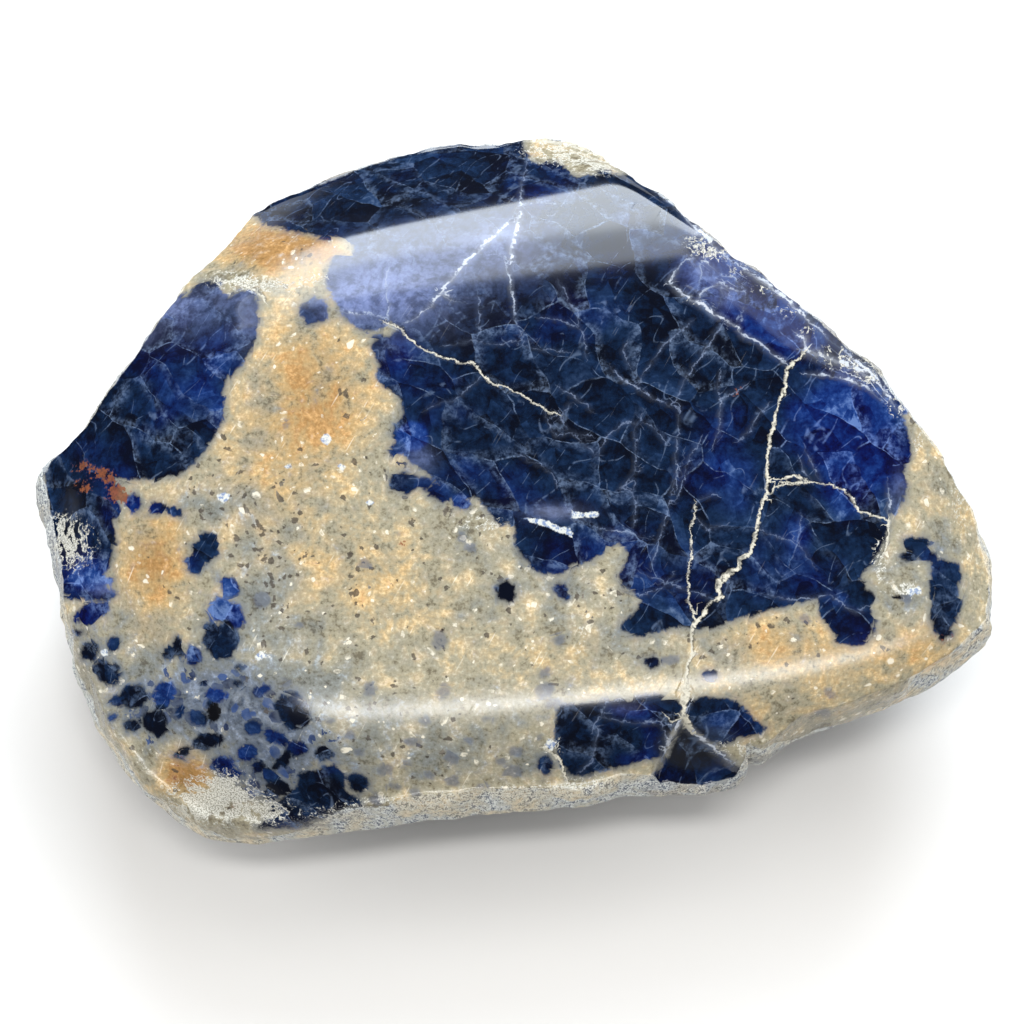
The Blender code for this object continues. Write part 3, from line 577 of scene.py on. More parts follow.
def outline_table():
    """The girdle's radius at every half degree, and the same with its small steps smoothed."""
    corners = np.array(OUTLINE)
    turn = np.unwrap(np.arctan2(corners[:, 1], corners[:, 0]))
    angles = np.radians(np.arange(-180.0, 180.0, 0.5))
    side = np.searchsorted(turn, (angles - turn[0]) % math.tau + turn[0], side="right") - 1
    a, b = corners[side], np.roll(corners, -1, axis=0)[side]
    cross = a[:, 0] * b[:, 1] - a[:, 1] * b[:, 0]
    along = np.cos(angles) * (b - a)[:, 1] - np.sin(angles) * (b - a)[:, 0]
    radius = cross / along
    window = np.hanning(2 * SMOOTHING)
    wrapped = np.concatenate([radius[-SMOOTHING:], radius, radius[:SMOOTHING]])
    smooth = np.convolve(wrapped, window / window.sum(), mode="same")[SMOOTHING:-SMOOTHING]
    return angles, radius, smooth


TABLES = outline_table()


def around(angle, values):
    """A value read from a table that runs once round the stone."""
    return np.interp(angle, TABLES[0], values, period=math.tau)


def softened(distance, softness):
    """Zero before a crease and the distance past it, with a rounded turn between."""
    return softness * np.logaddexp(0.0, distance / softness)


def smooth_step(value):
    """Nought up to 0 and one from 1, with a soft rise between."""
    t = np.clip(value, 0.0, 1.0)
    return t * t * (3.0 - 2.0 * t)


def inside_distance(x, y, outline):
    """Distance to a closed outline, positive inside it."""
    points = np.array(outline, float)
    nearest = np.full(x.shape, 1e9)
    inside = np.zeros(x.shape, bool)
    for a, b in zip(points, np.roll(points, -1, axis=0)):
        step = b - a
        t = np.clip(((x - a[0]) * step[0] + (y - a[1]) * step[1]) / (step @ step), 0, 1)
        nearest = np.minimum(nearest, np.hypot(x - a[0] - t * step[0], y - a[1] - t * step[1]))
        crosses = (a[1] > y) != (b[1] > y)
        rise = step[1] if step[1] else 1e-9
        inside ^= crosses & (x < a[0] + (y - a[1]) * step[0] / rise)
    return np.where(inside, nearest, -nearest)


def rough(x, y, z, scale, seed):
    """Seeded noise between about -1 and 1, for points in millimetres."""
    shift = Vector((seed, seed, seed))
    return np.array([noise.noise(Vector((a, b, c)) / scale + shift)
                     for a, b, c in zip(x, y, z)])


def face_height(x, y):
    """The polished face: one flat facet, its worn bevels and the places broken out of it."""
    height = FACE_HEIGHT + FACE_TILT[0] * x + FACE_TILT[1] * y
    for direction, crease, slope, softness in BEVELS.values():
        turn = math.radians(direction)
        out = x * math.cos(turn) + y * math.sin(turn)
        along = -x * math.sin(turn) + y * math.cos(turn)
        places, reaches = zip(*crease)
        past = out - np.interp(along, places, reaches)
        height = height - math.tan(math.radians(slope)) * softened(past, softness)
    for outline, depth, edge in CHIPS.values():
        height = height - depth * smooth_step(0.5 + inside_distance(x, y, outline) / edge)
    return height


def girdle_height(x, y):
    """The widest line climbs gently to the right and wavers a little."""
    wave = GIRDLE_WAVE * rough(x, y, np.zeros(x.shape), GIRDLE_WAVE_SCALE, GIRDLE_SEED)
    return GIRDLE_HEIGHT + GIRDLE_TILT[0] * x + GIRDLE_TILT[1] * y + wave


def broken_planes():
    """Places and slopes of the planes that the underside broke along, on a unit disc."""
    chance = random.Random(PLANE_SEED)
    planes = []
    for ring, count in UNDERSIDE_RINGS:
        for step in range(count):
            angle = math.tau * (step + chance.uniform(-PLANE_SHIFT, PLANE_SHIFT)) / count
            share = ring + chance.uniform(-PLANE_RING_SHIFT, PLANE_RING_SHIFT)
            out = np.array([math.cos(angle), math.sin(angle)])
            sideways = np.array([-out[1], out[0]]) * chance.uniform(-PLANE_LEAN, PLANE_LEAN)
            slope = UNDERSIDE_CURVE * share ** (UNDERSIDE_CURVE - 1)
            planes.append((out * share, share ** UNDERSIDE_CURVE, (out + sideways) * slope))
    return planes


def underside_height(x, y, angle, share):
    """The broken underside, from the ground to the girdle, where share is 1."""
    across, up = share * np.cos(angle), share * np.sin(angle)
    climb = np.full(x.shape, -1.0)
    for place, level, slope in broken_planes():
        plane = level + (across - place[0]) * slope[0] + (up - place[1]) * slope[1]
        climb = np.maximum(climb, plane)
    level = girdle_height(x, y)
    height = level * climb
    coarse, fine = (rough(x, y, height, scale, seed)
                    for scale, seed in zip(LUMP_SCALES[:2], LUMP_SEEDS))
    height = height + UNDERSIDE_LUMP * (coarse + 0.5 * fine)
    height = height + UNDERSIDE_GRAIN * rough(x, y, height, LUMP_SCALES[2], LUMP_SEEDS[2])
    blend = smooth_step((share - 1.0 + GIRDLE_BLEND) / GIRDLE_BLEND)
    height = height + (level - height) * blend
    return np.maximum(height, 0.0)


def disc_place(across, up):
    """A square grid's points as a direction and a share of the way out to the edge."""
    share = np.maximum(np.abs(across), np.abs(up))
    sideways = np.abs(across) >= np.abs(up)
    main = np.where(sideways, across, up)
    minor = np.where(sideways, up, across)
    main = np.where(main == 0.0, 1e-9, main)
    quarter = math.pi / 4 * minor / main
    angle = np.where(sideways, quarter, math.pi / 2 - quarter)
    angle = np.where(main < 0.0, angle + math.pi, angle)
    return angle, share


def plan_place(angle, share):
    """Direction and share of the way out, as x and y; small steps fade out inwards."""
    ring_x, ring_y = EDGE_GRAIN_RING * np.cos(angle), EDGE_GRAIN_RING * np.sin(angle)
    flat = np.zeros(angle.shape)
    coarse, fine = (rough(ring_x, ring_y, flat, scale, seed)
                    for scale, seed in zip(EDGE_GRAIN_SCALES, EDGE_SEEDS))
    sharp = around(angle, TABLES[1]) + RIM_GRAIN * (coarse + 0.5 * fine)
    soft = around(angle, TABLES[2])
    reach = share * (soft + (sharp - soft) * share ** STEP_FADE)
    return reach * np.cos(angle), reach * np.sin(angle)


def shape_face(across, up):
    """The face and the rough rim that drops from its edge to the girdle."""
    angle, share = disc_place(across, up)
    directions, widths = zip(*RIM_WIDTH)
    width = np.interp(angle, np.radians(directions), widths, period=math.tau)
    face_edge = 1.0 - width / around(angle, TABLES[1])
    rim_start = 1.0 - 2.0 * RIM_RINGS / FACE_CELLS
    down = np.clip((share - rim_start) / (1.0 - rim_start), 0.0, 1.0)
    out = face_edge * np.minimum(share / rim_start, 1.0)
    out = out + (1.0 - face_edge) * np.sin(0.5 * math.pi * down) ** RIM_ROUNDNESS
    x, y = plan_place(angle, out)
    edge_x, edge_y = plan_place(angle, np.minimum(out, face_edge))
    top = face_height(edge_x, edge_y)
    z = top + (girdle_height(x, y) - top) * down ** 2
    swell = np.sin(math.pi * down)
    coarse, fine = (rough(x, y, z, scale, seed) for scale, seed in zip(RIM_GRAIN_SCALES, RIM_SEEDS))
    steps = 1.6 * rough(x, y, z, WALL_STEP_SCALE, WALL_STEP_SEED)
    steps = np.clip(steps, -WALL_STEP_LIMIT, WALL_STEP_LIMIT)
    grain = (RIM_GRAIN * (coarse + 0.7 * fine) + WALL_STEPS * steps) * swell
    return x + grain * np.cos(angle), y + grain * np.sin(angle), z, down


def shape_underside(across, up):
    """The broken side, which meets the rim at the girdle."""
    angle, share = disc_place(across, up)
    x, y = plan_place(angle, share)
    return x, y, underside_height(x, y, angle, share), 2.0 - share


def add_sheet(mesh, cells, shape, down_layer, is_underside=False):
    """A square grid bent into one side of the stone. The underside's faces down, and its
    border is cut in half lengths to meet the face's, which is twice as fine."""
    before = set(mesh.verts)
    bmesh.ops.create_grid(mesh, x_segments=cells, y_segments=cells, size=1.0)
    if is_underside:
        edges = [e for e in mesh.edges if e.is_boundary]
        bmesh.ops.subdivide_edges(mesh, edges=edges, cuts=1)
        bmesh.ops.reverse_faces(mesh, faces=mesh.faces)
    corners = [v for v in mesh.verts if v not in before]
    across = np.array([v.co.x for v in corners])
    up = np.array([v.co.y for v in corners])
    x, y, z, down = shape(across, up)
    for vertex, a, b, c, d in zip(corners, x - PLAN_CENTRE[0], y - PLAN_CENTRE[1], z, down):
        vertex.co = Vector((a, b, c)) * MM
        vertex[down_layer] = d


def build_stone():
    """Both sides joined along the girdle, as one closed mesh."""
    mesh = bmesh.new()
    down_layer = mesh.verts.layers.float.new("down")
    add_sheet(mesh, UNDER_CELLS, shape_underside, down_layer, is_underside=True)
    add_sheet(mesh, FACE_CELLS, shape_face, down_layer)
    bmesh.ops.remove_doubles(mesh, verts=mesh.verts, dist=0.0005 * MM)
    bmesh.ops.triangulate(mesh, faces=mesh.faces)
    data = bpy.data.meshes.new("sodalite_stone")
    mesh.to_mesh(data)
    mesh.free()
    data.shade_smooth()
    stone = bpy.data.objects.new("sodalite_stone", data)
    bpy.context.scene.collection.objects.link(stone)
    return stone


def photo_place(points):
    """Where points of the stone, in millimetres, fall in the photograph's frame."""
    tilt = math.radians(CAMERA_ELEVATION)
    forward = np.array([0.0, math.cos(tilt), -math.sin(tilt)])
    upward = np.array([0.0, math.sin(tilt), math.cos(tilt)])
    offset = points - (CAMERA_TARGET - CAMERA_DISTANCE * forward)
    scale = FOCAL_PIXELS / (offset @ forward)
    middle = FRAME_PIXELS / 2
    return middle + scale * offset[:, 0], middle - scale * (offset @ upward)


def near_box(u, v, us, vs, margin):
    """The points that lie within a margin of a group of places."""
    return np.flatnonzero((u > min(us) - margin) & (u < max(us) + margin)
                          & (v > min(vs) - margin) & (v < max(vs) + margin))


def patch_field(u, v, outlines):
    """Distance inside the nearest of several outlines, as far as it is worked out."""
    field = np.full(u.shape, -PATCH_REACH)
    for outline in outlines:
        us, vs = zip(*outline)
        near = near_box(u, v, us, vs, PATCH_REACH)
        found = np.clip(inside_distance(u[near], v[near], outline), -PATCH_REACH, PATCH_REACH)
        field[near] = np.maximum(field[near], found)
    return field


def crystal_outline(place, chance):
    """An angular crystal's outline round an ellipse."""
    u, v, half_length, half_width, tilt = place[:5]
    turn = math.radians(tilt)
    count = chance.choice(CRYSTAL_CORNERS)
    start = chance.uniform(0.0, math.tau)
    outline = []
    for step in range(count):
        angle = start + math.tau * (step + chance.uniform(-CRYSTAL_SHIFT, CRYSTAL_SHIFT)) / count
        size = chance.uniform(*CRYSTAL_REACH)
        a = half_length * size * math.cos(angle)
        b = half_width * size * math.sin(angle)
        outline.append((u + a * math.cos(turn) - b * math.sin(turn),
                        v + a * math.sin(turn) + b * math.cos(turn)))
    return outline


def tone_field(u, v, tones):
    """Soft blobs added up."""
    field = np.zeros(u.shape)
    for cu, cv, ru, rv, amount in tones:
        near = near_box(u, v, (cu - 2 * ru, cu + 2 * ru), (cv - 2 * rv, cv + 2 * rv), 4.0)
        field[near] += amount * np.exp(-((u[near] - cu) / ru) ** 2 - ((v[near] - cv) / rv) ** 2)
    return field


def line_field(u, v, lines):
    """Signed distance to the nearest line, plain distance past its width, and its width."""
    side = np.full(u.shape, LINE_REACH)
    gap = np.full(u.shape, LINE_REACH)
    width = np.full(u.shape, 0.5)
    for line in lines:
        points = np.array(line)
        near = near_box(u, v, points[:, 0], points[:, 1], LINE_REACH)
        for a, b in zip(points[:-1], points[1:]):
            step = b[:2] - a[:2]
            du, dv = u[near] - a[0], v[near] - a[1]
            t = np.clip((du * step[0] + dv * step[1]) / (step @ step), 0, 1)
            away = np.hypot(du - t * step[0], dv - t * step[1])
            half = a[2] + t * (b[2] - a[2])
            closer = away - half < gap[near]
            chosen = near[closer]
            turn = np.sign(step[0] * dv - step[1] * du)
            gap[chosen] = (away - half)[closer]
            side[chosen] = (turn * away)[closer]
            width[chosen] = half[closer]
    return side, gap, width


def store(mesh, name, values):
    """Keeps a vector on each point of a mesh."""
    layer = mesh.attributes.new(name, "FLOAT_VECTOR", "POINT")
    layer.data.foreach_set("vector", np.asarray(values, dtype=np.float32).ravel())


def slow_noise(places):
    """Coarse noise worked out on the points, which is quicker than in the shader: places
    in mm spread outwards as they go down, so that the walls aren't streaked, the same ones
    pushed about, and two cloudy fields."""
    noise.seed_set(BEND_SEED)
    even = places.copy()
    from_girdle = np.abs(places[:, 2:] - GIRDLE_HEIGHT)
    even[:, :2] *= 1.0 + WALL_SPREAD * (FACE_HEIGHT - GIRDLE_HEIGHT - from_girdle)
    bent = even.copy()
    clouds = np.empty(len(places))
    drift = np.empty(len(places))
    for at, place in enumerate(places):
        spot = Vector(place)
        bend = (reach * noise.noise_vector(spot * scale) for reach, scale in BENDS)
        bent[at] += sum(bend, Vector())
        clouds[at] = noise.fractal(spot * CLOUD_SCALE, *CLOUD_OCTAVES)
        drifting = spot * CLOUD_DRIFT_SCALE + Vector(CLOUD_DRIFT_SHIFT)
        drift[at] = noise.fractal(drifting, *CLOUD_OCTAVES)
    return even, bent, clouds, drift


def mark_stone(stone):
    """Writes the markings onto the stone's points, by drawn outline on the face and
    by noise below the girdle."""
    mesh = stone.data
    places = np.zeros(len(mesh.vertices) * 3)
    mesh.vertices.foreach_get("co", places)
    places = places.reshape(-1, 3) / MM
    down = np.zeros(len(mesh.vertices))
    mesh.attributes["down"].data.foreach_get("value", down)
    u, v = photo_place(places)
    under = smooth_step((down - 1.0) / TAKE_OVER)
    chance = random.Random(CRYSTAL_SEED)
    x, y, z = places.T
    coarse, fine = (rough(x, y, z, scale, seed) for scale, seed in zip(MOTTLE_SCALES, MOTTLE_SEEDS))
    mottle = coarse + 0.5 * fine
    drift = rough(x, y, z, DRIFT_SCALE, DRIFT_SEED)
    crystals = [crystal_outline(place, chance) for place in BLUE_CRYSTALS]
    hazy = [crystal_outline(place, chance) for place in HAZY_CRYSTALS]
    blue = patch_field(u, v, list(BLUE_PATCHES.values()) + crystals)
    fields = {"down": down, "blue": blue + under * (26.0 * (mottle + 0.06) - blue),
              "hazy": patch_field(u, v, hazy) - BURIED * under,
              "flake": patch_field(u, v, WHITE_FLAKES_AND_GLINTS) - BURIED * under}
    gem = np.zeros(u.shape)
    for outline, place in zip(crystals, BLUE_CRYSTALS):
        us, vs = zip(*outline)
        near = near_box(u, v, us, vs, 6.0)
        inside = smooth_step((inside_distance(u[near], v[near], outline) + 4.0) / 4.0)
        gem[near] += inside * (place[5] - gem[near])
    fields["gem"] = gem
    hidden = {"vivid": 0.25 * drift, "warm": 0.35 + 0.7 * drift, "grey": 0.45 - 0.6 * drift,
              "haze": 0.3 - mottle, "specks": 0.2, "rust": np.clip(drift - 0.25, 0, 1),
              "crust": np.clip(0.5 * mottle, 0, 1), "lavender": 0.0, "pits": 0.0, "bare": 0.0,
              "dull": 0.6}
    tones = {"vivid": VIVID, "warm": WARM_AND_SHADE, "grey": GREY_AND_SHADE, "haze": BLUE_HAZE,
             "specks": SPECK_CLOUDS, "rust": RUST, "crust": WHITE_CRUST,
             "lavender": LAVENDER_AND_SHEEN, "pits": PIT_SHADE_AND_SPECKS, "bare": BARE_EDGE, "dull": DULL}
    for name, tone in tones.items():
        seen = tone_field(u, v, tone)
        fields[name] = seen + under * (hidden[name] - seen)
    veins = list(PALE_VEINS.values()) + HEALED_FRACTURES
    for name, lines in (("crack", CREAM_CRACKS.values()), ("vein", veins)):
        side, gap, width = line_field(u, v, lines)
        fields[name + "_side"] = side
        fields[name + "_gap"] = gap + LINE_REACH * under
        fields[name + "_width"] = width
    even, bent, fields["clouds"], fields["drift"] = slow_noise(places)
    store(mesh, "even", even)
    store(mesh, "bent", bent)
    for pack in FIELD_PACKS:
        store(mesh, "_".join(pack), np.transpose([fields[name] for name in pack]))


class Nodes:
    """Short ways to add shader nodes and join them."""

    def __init__(self, tree):
        self.tree = tree
        self.fields = {}

    def new(self, kind, inputs, **settings):
        made = self.tree.nodes.new(kind)
        for name, value in settings.items():
            setattr(made, name, value)
        for name, value in inputs.items():
            if isinstance(value, bpy.types.NodeSocket):
                self.tree.links.new(value, made.inputs[name])
            else:
                made.inputs[name].default_value = value
        return made

    def field(self, name):
        """One of the stone's fields."""
        if name not in self.fields:
            pack = next(pack for pack in FIELD_PACKS if name in pack)
            read = self.new("ShaderNodeAttribute", {}, attribute_name="_".join(pack))
            parts = self.new("ShaderNodeSeparateXYZ", {"Vector": read.outputs["Vector"]}).outputs
            self.fields.update(zip(pack, parts))
        return self.fields[name]

    def math(self, operation, a, b=0.0):
        return self.new("ShaderNodeMath", {0: a, 1: b}, operation=operation).outputs[0]

    def sum(self, a, b):
        return self.math("ADD", a, b)

    def times(self, a, b):
        return self.math("MULTIPLY", a, b)

    def high(self, a, b):
        return self.math("MAXIMUM", a, b)

    def swing(self, value, amount, middle=0.0):
        """Noise that runs from 0 to 1, as a swing to either side of a middle."""
        return self.new("ShaderNodeMath", {0: value, 1: amount, 2: middle - amount / 2},
                        operation="MULTIPLY_ADD").outputs[0]

    def spread(self, value, low, high, start=0.0, end=1.0):
        """A soft step from start, below low, to end, above high."""
        made = self.new("ShaderNodeMapRange",
                        {"Value": value, "From Min": low, "From Max": high,
                         "To Min": start, "To Max": end}, interpolation_type="SMOOTHSTEP")
        return made.outputs["Result"]

    def along(self, vector, turn, length, width):
        """The same places with one direction stretched, for marks that run that way."""
        return self.new("ShaderNodeMapping", {"Vector": vector, "Scale": (length, width, 1.0),
                                              "Rotation": (0.0, 0.0, math.radians(turn))},
                        vector_type="TEXTURE").outputs["Vector"]

    def noise(self, vector, scale, detail=3.0, roughness=0.55):
        made = self.new("ShaderNodeTexNoise",
                        {"Vector": vector, "Scale": scale, "Detail": detail,
                         "Roughness": roughness}, noise_dimensions="2D")
        return made.outputs["Fac"]

    def cells(self, vector, scale, feature="F1"):
        return self.new("ShaderNodeTexVoronoi", {"Vector": vector, "Scale": scale},
                        feature=feature, voronoi_dimensions="2D")

    def mix(self, factor, a, b, blend="MIX"):
        made = self.tree.nodes.new("ShaderNodeMix")
        made.data_type = "RGBA"
        made.blend_type = blend
        made.clamp_factor = True
        for slot, value in ((0, factor), (6, a), (7, b)):
            if isinstance(value, bpy.types.NodeSocket):
                self.tree.links.new(value, made.inputs[slot])
            else:
                made.inputs[slot].default_value = value
        return made.outputs[2]

    def ramp(self, value, stops):
        made = self.tree.nodes.new("ShaderNodeValToRGB")
        self.tree.links.new(value, made.inputs["Fac"])
        while len(made.color_ramp.elements) < len(stops):
            made.color_ramp.elements.new(0.5)
        for element, (place, colour) in zip(made.color_ramp.elements, stops):
            element.position = place
            element.color = colour
        return made.outputs["Color"]

    def vector(self, operation, a, b):
        return self.new("ShaderNodeVectorMath", {0: a, 1: b}, operation=operation)

    def split(self, colour):
        return self.new("ShaderNodeSeparateColor", {"Color": colour}).outputs

    def line(self, name, shake, thin, soften, shift=0.0):
        """A mask along drawn lines, as wide as each is there, shaken by noise."""
        side = self.sum(self.sum(self.field(name + "_side"), shake), shift)
        edge = self.math("SUBTRACT", self.times(self.field(name + "_width"), thin),
                         self.math("ABSOLUTE", side))
        near = self.spread(self.field(name + "_gap"), 4.0, 6.5, 1.0, 0.0)
        return self.times(self.spread(edge, -soften, soften), near)


def block_tone_and_shading(n, bent, cells, pick):
    """Tone of a cleavage block: its own depth, and painted shading across it like a lit broken face.
    """
    flat = n.vector("MULTIPLY", bent, (1.0, 1.0, 0.0)).outputs[0]
    offset = n.vector("SUBTRACT", flat, cells.outputs["Position"]).outputs[0]
    painted_shading_lean = n.vector("SUBTRACT", cells.outputs["Color"], (0.5, 0.5, 0.5)).outputs[0]
    # painted shading: each block lighter towards one side and darker towards the other
    slope = n.vector("DOT_PRODUCT", offset, painted_shading_lean).outputs["Value"]
    return n.sum(n.sum(pick, -0.5), slope)


def blue_colour(n, even, bent, grain, mid, chips):
    """Sodalite: cleavage blocks of different depth with painted shading across each, steel blue to
    royal blue, with hairlines between them, feathery pale breaks on one side of some, long slanting
    wisps, and lavender that is partly a painted sheen."""
    lying = n.along(bent, *BLOCK_SLANT)
    blocks = n.cells(lying, BLOCK_SCALE)
    edges = n.cells(lying, BLOCK_SCALE, "DISTANCE_TO_EDGE").outputs["Distance"]
    pick = n.split(blocks.outputs["Color"])
    vivid = n.field("vivid")
    tone = n.times(block_tone_and_shading(n, lying, blocks, pick[0]), 0.26)
    chip = block_tone_and_shading(n, bent, chips, n.split(chips.outputs["Color"])[1])
    tone = n.sum(tone, n.times(chip, 0.24))
    tone = n.sum(tone, n.swing(mid, 0.9))
    tone = n.sum(tone, n.swing(grain, 0.45))
    tone = n.sum(tone, n.sum(n.times(vivid, 0.38), 0.32))
    tone = n.sum(tone, n.times(n.field("gem"), 0.8))
    steel = n.ramp(tone, STEEL_BLUES)
    royal = n.ramp(tone, ROYAL_BLUES)
    vivid = n.sum(vivid, n.field("gem"))
    colour = n.mix(n.spread(n.sum(vivid, n.times(n.field("drift"), 0.25)), -0.05, 0.40), steel, royal)
    pale = n.mix(n.spread(vivid, 0.0, 0.4), *BREAK_BLUES)
    patchy = n.spread(grain, 0.32, 0.66, 0.15, 1.0)
    feather = n.times(n.spread(edges, 0.0, 0.26, 1.0, 0.0), n.spread(pick[1], 0.35, 0.9))
    wisp = n.noise(n.along(even, *WISP_SLANT), 1.0, 1.0, 0.35)
    wisp = n.spread(n.math("ABSOLUTE", n.sum(wisp, -0.5)), 0.0, 0.012, 0.38, 0.0)
    wisp = n.times(wisp, n.spread(mid, 0.42, 0.62))
    hair = n.times(n.spread(edges, 0.003, 0.020, 0.65, 0.0), n.spread(n.field("clouds"), -0.15, 0.35))
    marks = n.high(hair, n.times(feather, n.spread(mid, 0.35, 0.65, 0.0, 0.6)))
    colour = n.mix(n.high(n.times(marks, patchy), wisp), colour, pale)
    # lavender-grey, and in places a painted sheen
    lavender = n.times(n.field("lavender"), n.spread(mid, 0.3, 0.65, 0.55, 1.2))
    return n.mix(lavender, colour, n.mix(grain, *LAVENDER_AND_SHEEN_COLOURS))


def specks(n, bent, grain, dark_share, light_share, size):
    """Small marks in some cells of a fine mesh, mostly tiny: dark ones and light ones."""
    spots = n.cells(bent, SPECK_SCALE)
    pick = n.split(spots.outputs["Color"])
    reach = n.times(n.sum(n.times(n.times(pick[1], pick[1]), pick[1]), 0.22), size)
    away = n.sum(spots.outputs["Distance"], n.swing(grain, 0.9))
    mark = n.spread(n.math("SUBTRACT", reach, away), -0.08, 0.10)
    dark = n.times(n.math("LESS_THAN", pick[0], dark_share), mark)
    light = n.times(n.math("LESS_THAN", pick[2], light_share), mark)
    return dark, light


def scratches(n, even, share):
    """Short scuffs in one direction."""
    spots = n.cells(n.along(even, *SCUFF_SLANT), 1.0)
    chosen = n.math("LESS_THAN", n.split(spots.outputs["Color"])[0], share)
    return n.times(chosen, n.spread(spots.outputs["Distance"], 0.10, 0.42, 1.0, 0.0))


def matrix_colour(n, even, bent, grain, mid, chips):
    """The tan and grey matrix: a fine granular mottle with flecks, specks and crystals."""
    clouds = n.field("clouds")
    # warmth of the tan, and painted shade on the upper-left bevel
    warm = n.sum(n.sum(n.field("warm"), n.times(clouds, 0.45)), n.swing(mid, 1.5))
    colour = n.ramp(warm, TANS)
    # grey of the matrix, and painted shade on the upper-left bevel
    grey = n.sum(n.field("grey"), n.sum(n.swing(mid, 1.2), n.times(clouds, -0.4)))
    colour = n.mix(n.spread(grey, 0.0, 1.0), colour, MATRIX_GREY)
    haze = n.sum(n.field("haze"), n.swing(mid, 1.0))
    haze = n.times(n.spread(haze, 0.10, 0.75), 0.92)
    colour = n.mix(haze, colour, n.mix(n.spread(mid, 0.3, 0.7), *HAZES))
    shade = n.sum(n.swing(grain, 1.15), n.swing(mid, 1.2))
    shade = n.sum(shade, n.times(clouds, 0.30))
    gain = n.ramp(n.sum(shade, 0.5), GRAIN_SHADES)
    colour = n.mix(1.0, colour, gain, "MULTIPLY")
    density = n.field("specks")
    dark, light = specks(n, bent, grain, n.sum(n.times(density, 0.45), 0.02), 0.12, 0.52)
    scuff = n.times(scratches(n, even, 0.04), n.spread(clouds, -0.2, 0.3))
    light = n.high(light, n.times(scuff, 0.6))
    colour = n.mix(n.times(light, n.spread(mid, 0.38, 0.6, 0.1, 0.85)), colour, PALE_SPECK)
    colour = n.mix(n.times(dark, 0.8), colour, n.mix(grain, *DARK_SPECKS))
    share = n.spread(haze, 0.20, 0.8, 0.0, 0.75)
    pick = n.split(chips.outputs["Color"])
    grown = n.math("SUBTRACT", n.sum(n.times(pick[1], 0.30), 0.20), chips.outputs["Distance"])
    grown = n.spread(n.sum(grown, n.swing(grain, 0.25)), 0.0, 0.10)
    grown = n.times(grown, n.math("LESS_THAN", pick[2], share))
    crystal = n.mix(n.sum(pick[0], n.swing(mid, 0.8)), *SMALL_CRYSTALS)
    return n.mix(n.times(grown, 0.9), colour, crystal), scuff


def rim_colour(n, base, grain, mid, grit):
    """The unpolished rim: a salt and pepper of cream, grey and slate grains over the colour
    of the stone behind it."""
    clouds = n.field("clouds")
    light = n.mix(n.spread(clouds, -0.3, 0.3), *RIM_LIGHTS)
    dark = n.mix(n.spread(clouds, -0.3, 0.3), *RIM_DARKS)
    pepper = n.sum(n.sum(n.swing(grit, 0.9), n.swing(grain, 1.0)), n.swing(mid, 0.8))
    crust = n.mix(n.spread(pepper, -0.28, 0.10), dark, light)
    return n.mix(n.spread(n.sum(mid, n.times(clouds, 0.12)), 0.36, 0.62, 0.92, 0.40), base, crust)


def marked_colour(n, colour, shake, grain, mid, grit):
    """Rust, healed fractures, cream cracks with a painted shadow beside them, white crust, white
    flakes partly painted as glints, and small hollows painted dark as shade, over the stone's
    colour; and the masks of the cracks and the crust."""
    rust = n.sum(n.field("rust"), n.sum(n.swing(mid, 1.6), n.swing(grain, 1.2)))
    rust = n.times(n.spread(rust, 0.45, 0.75), n.spread(n.field("rust"), 0.05, 0.3))
    colour = n.mix(n.times(rust, 0.9), colour, n.mix(grain, *RUSTS))

    line_shake = n.sum(n.swing(mid, 8.0), n.swing(grain, 4.0))
    worn = n.spread(mid, 0.40, 0.60)
    width = n.field("vein_width")
    strong = n.spread(width, 0.9, 2.2, 0.5, 0.9)
    thick = n.spread(width, 1.2, 3.0, 0.5, 0.8)
    vein = n.times(n.line("vein", line_shake, thick, 0.8), n.times(n.sum(worn, 0.3), strong))
    halo = n.times(n.line("vein", line_shake, 1.4, 4.0), n.times(strong, 0.18))
    colour = n.mix(n.high(vein, halo), colour, n.mix(n.spread(width, 1.0, 2.2), *VEINS))

    shadow = n.times(n.line("crack", line_shake, 0.4, 0.7, 1.6), 0.6)
    colour = n.mix(shadow, colour, CRACK_SHADOW)
    crack = n.times(n.line("crack", line_shake, 0.6, 0.8), n.spread(grain, 0.30, 0.48, 0.4, 1.0))
    crack = n.times(crack, n.spread(mid, 0.3, 0.5, 0.35, 1.0))
    colour = n.mix(crack, colour, n.mix(grain, *CREAMS))

    patch = n.field("crust")
    lace = n.spread(n.math("ABSOLUTE", n.sum(mid, -0.5)), 0.0, 0.08, 0.28, -0.15)
    crust = n.sum(n.sum(n.swing(grain, 0.8), n.swing(mid, 1.4)), lace)
    crust = n.sum(crust, n.times(patch, 0.62))
    crust = n.times(n.spread(crust, 0.34, 0.58), n.spread(patch, 0.06, 0.30))
    white = n.mix(n.spread(grit, 0.35, 0.6), *CRUSTS)
    colour = n.mix(n.times(crust, 0.88), colour, white)

    # white flakes, partly a painted glint of small broken facets
    flake = n.spread(n.sum(n.field("flake"), n.times(shake, 0.5)), -0.8, 0.8)
    colour = n.mix(n.times(flake, 0.9), colour, n.mix(n.spread(grain, 0.38, 0.58), *FLAKE_AND_GLINT_COLOURS))
    # painted shade: the small hollows are painted dark, not carved
    pits = n.spread(n.sum(n.field("pits"), n.swing(grain, 0.6)), 0.35, 0.6)
    return n.mix(pits, colour, PIT_SHADE_AND_SPECK), crack, crust


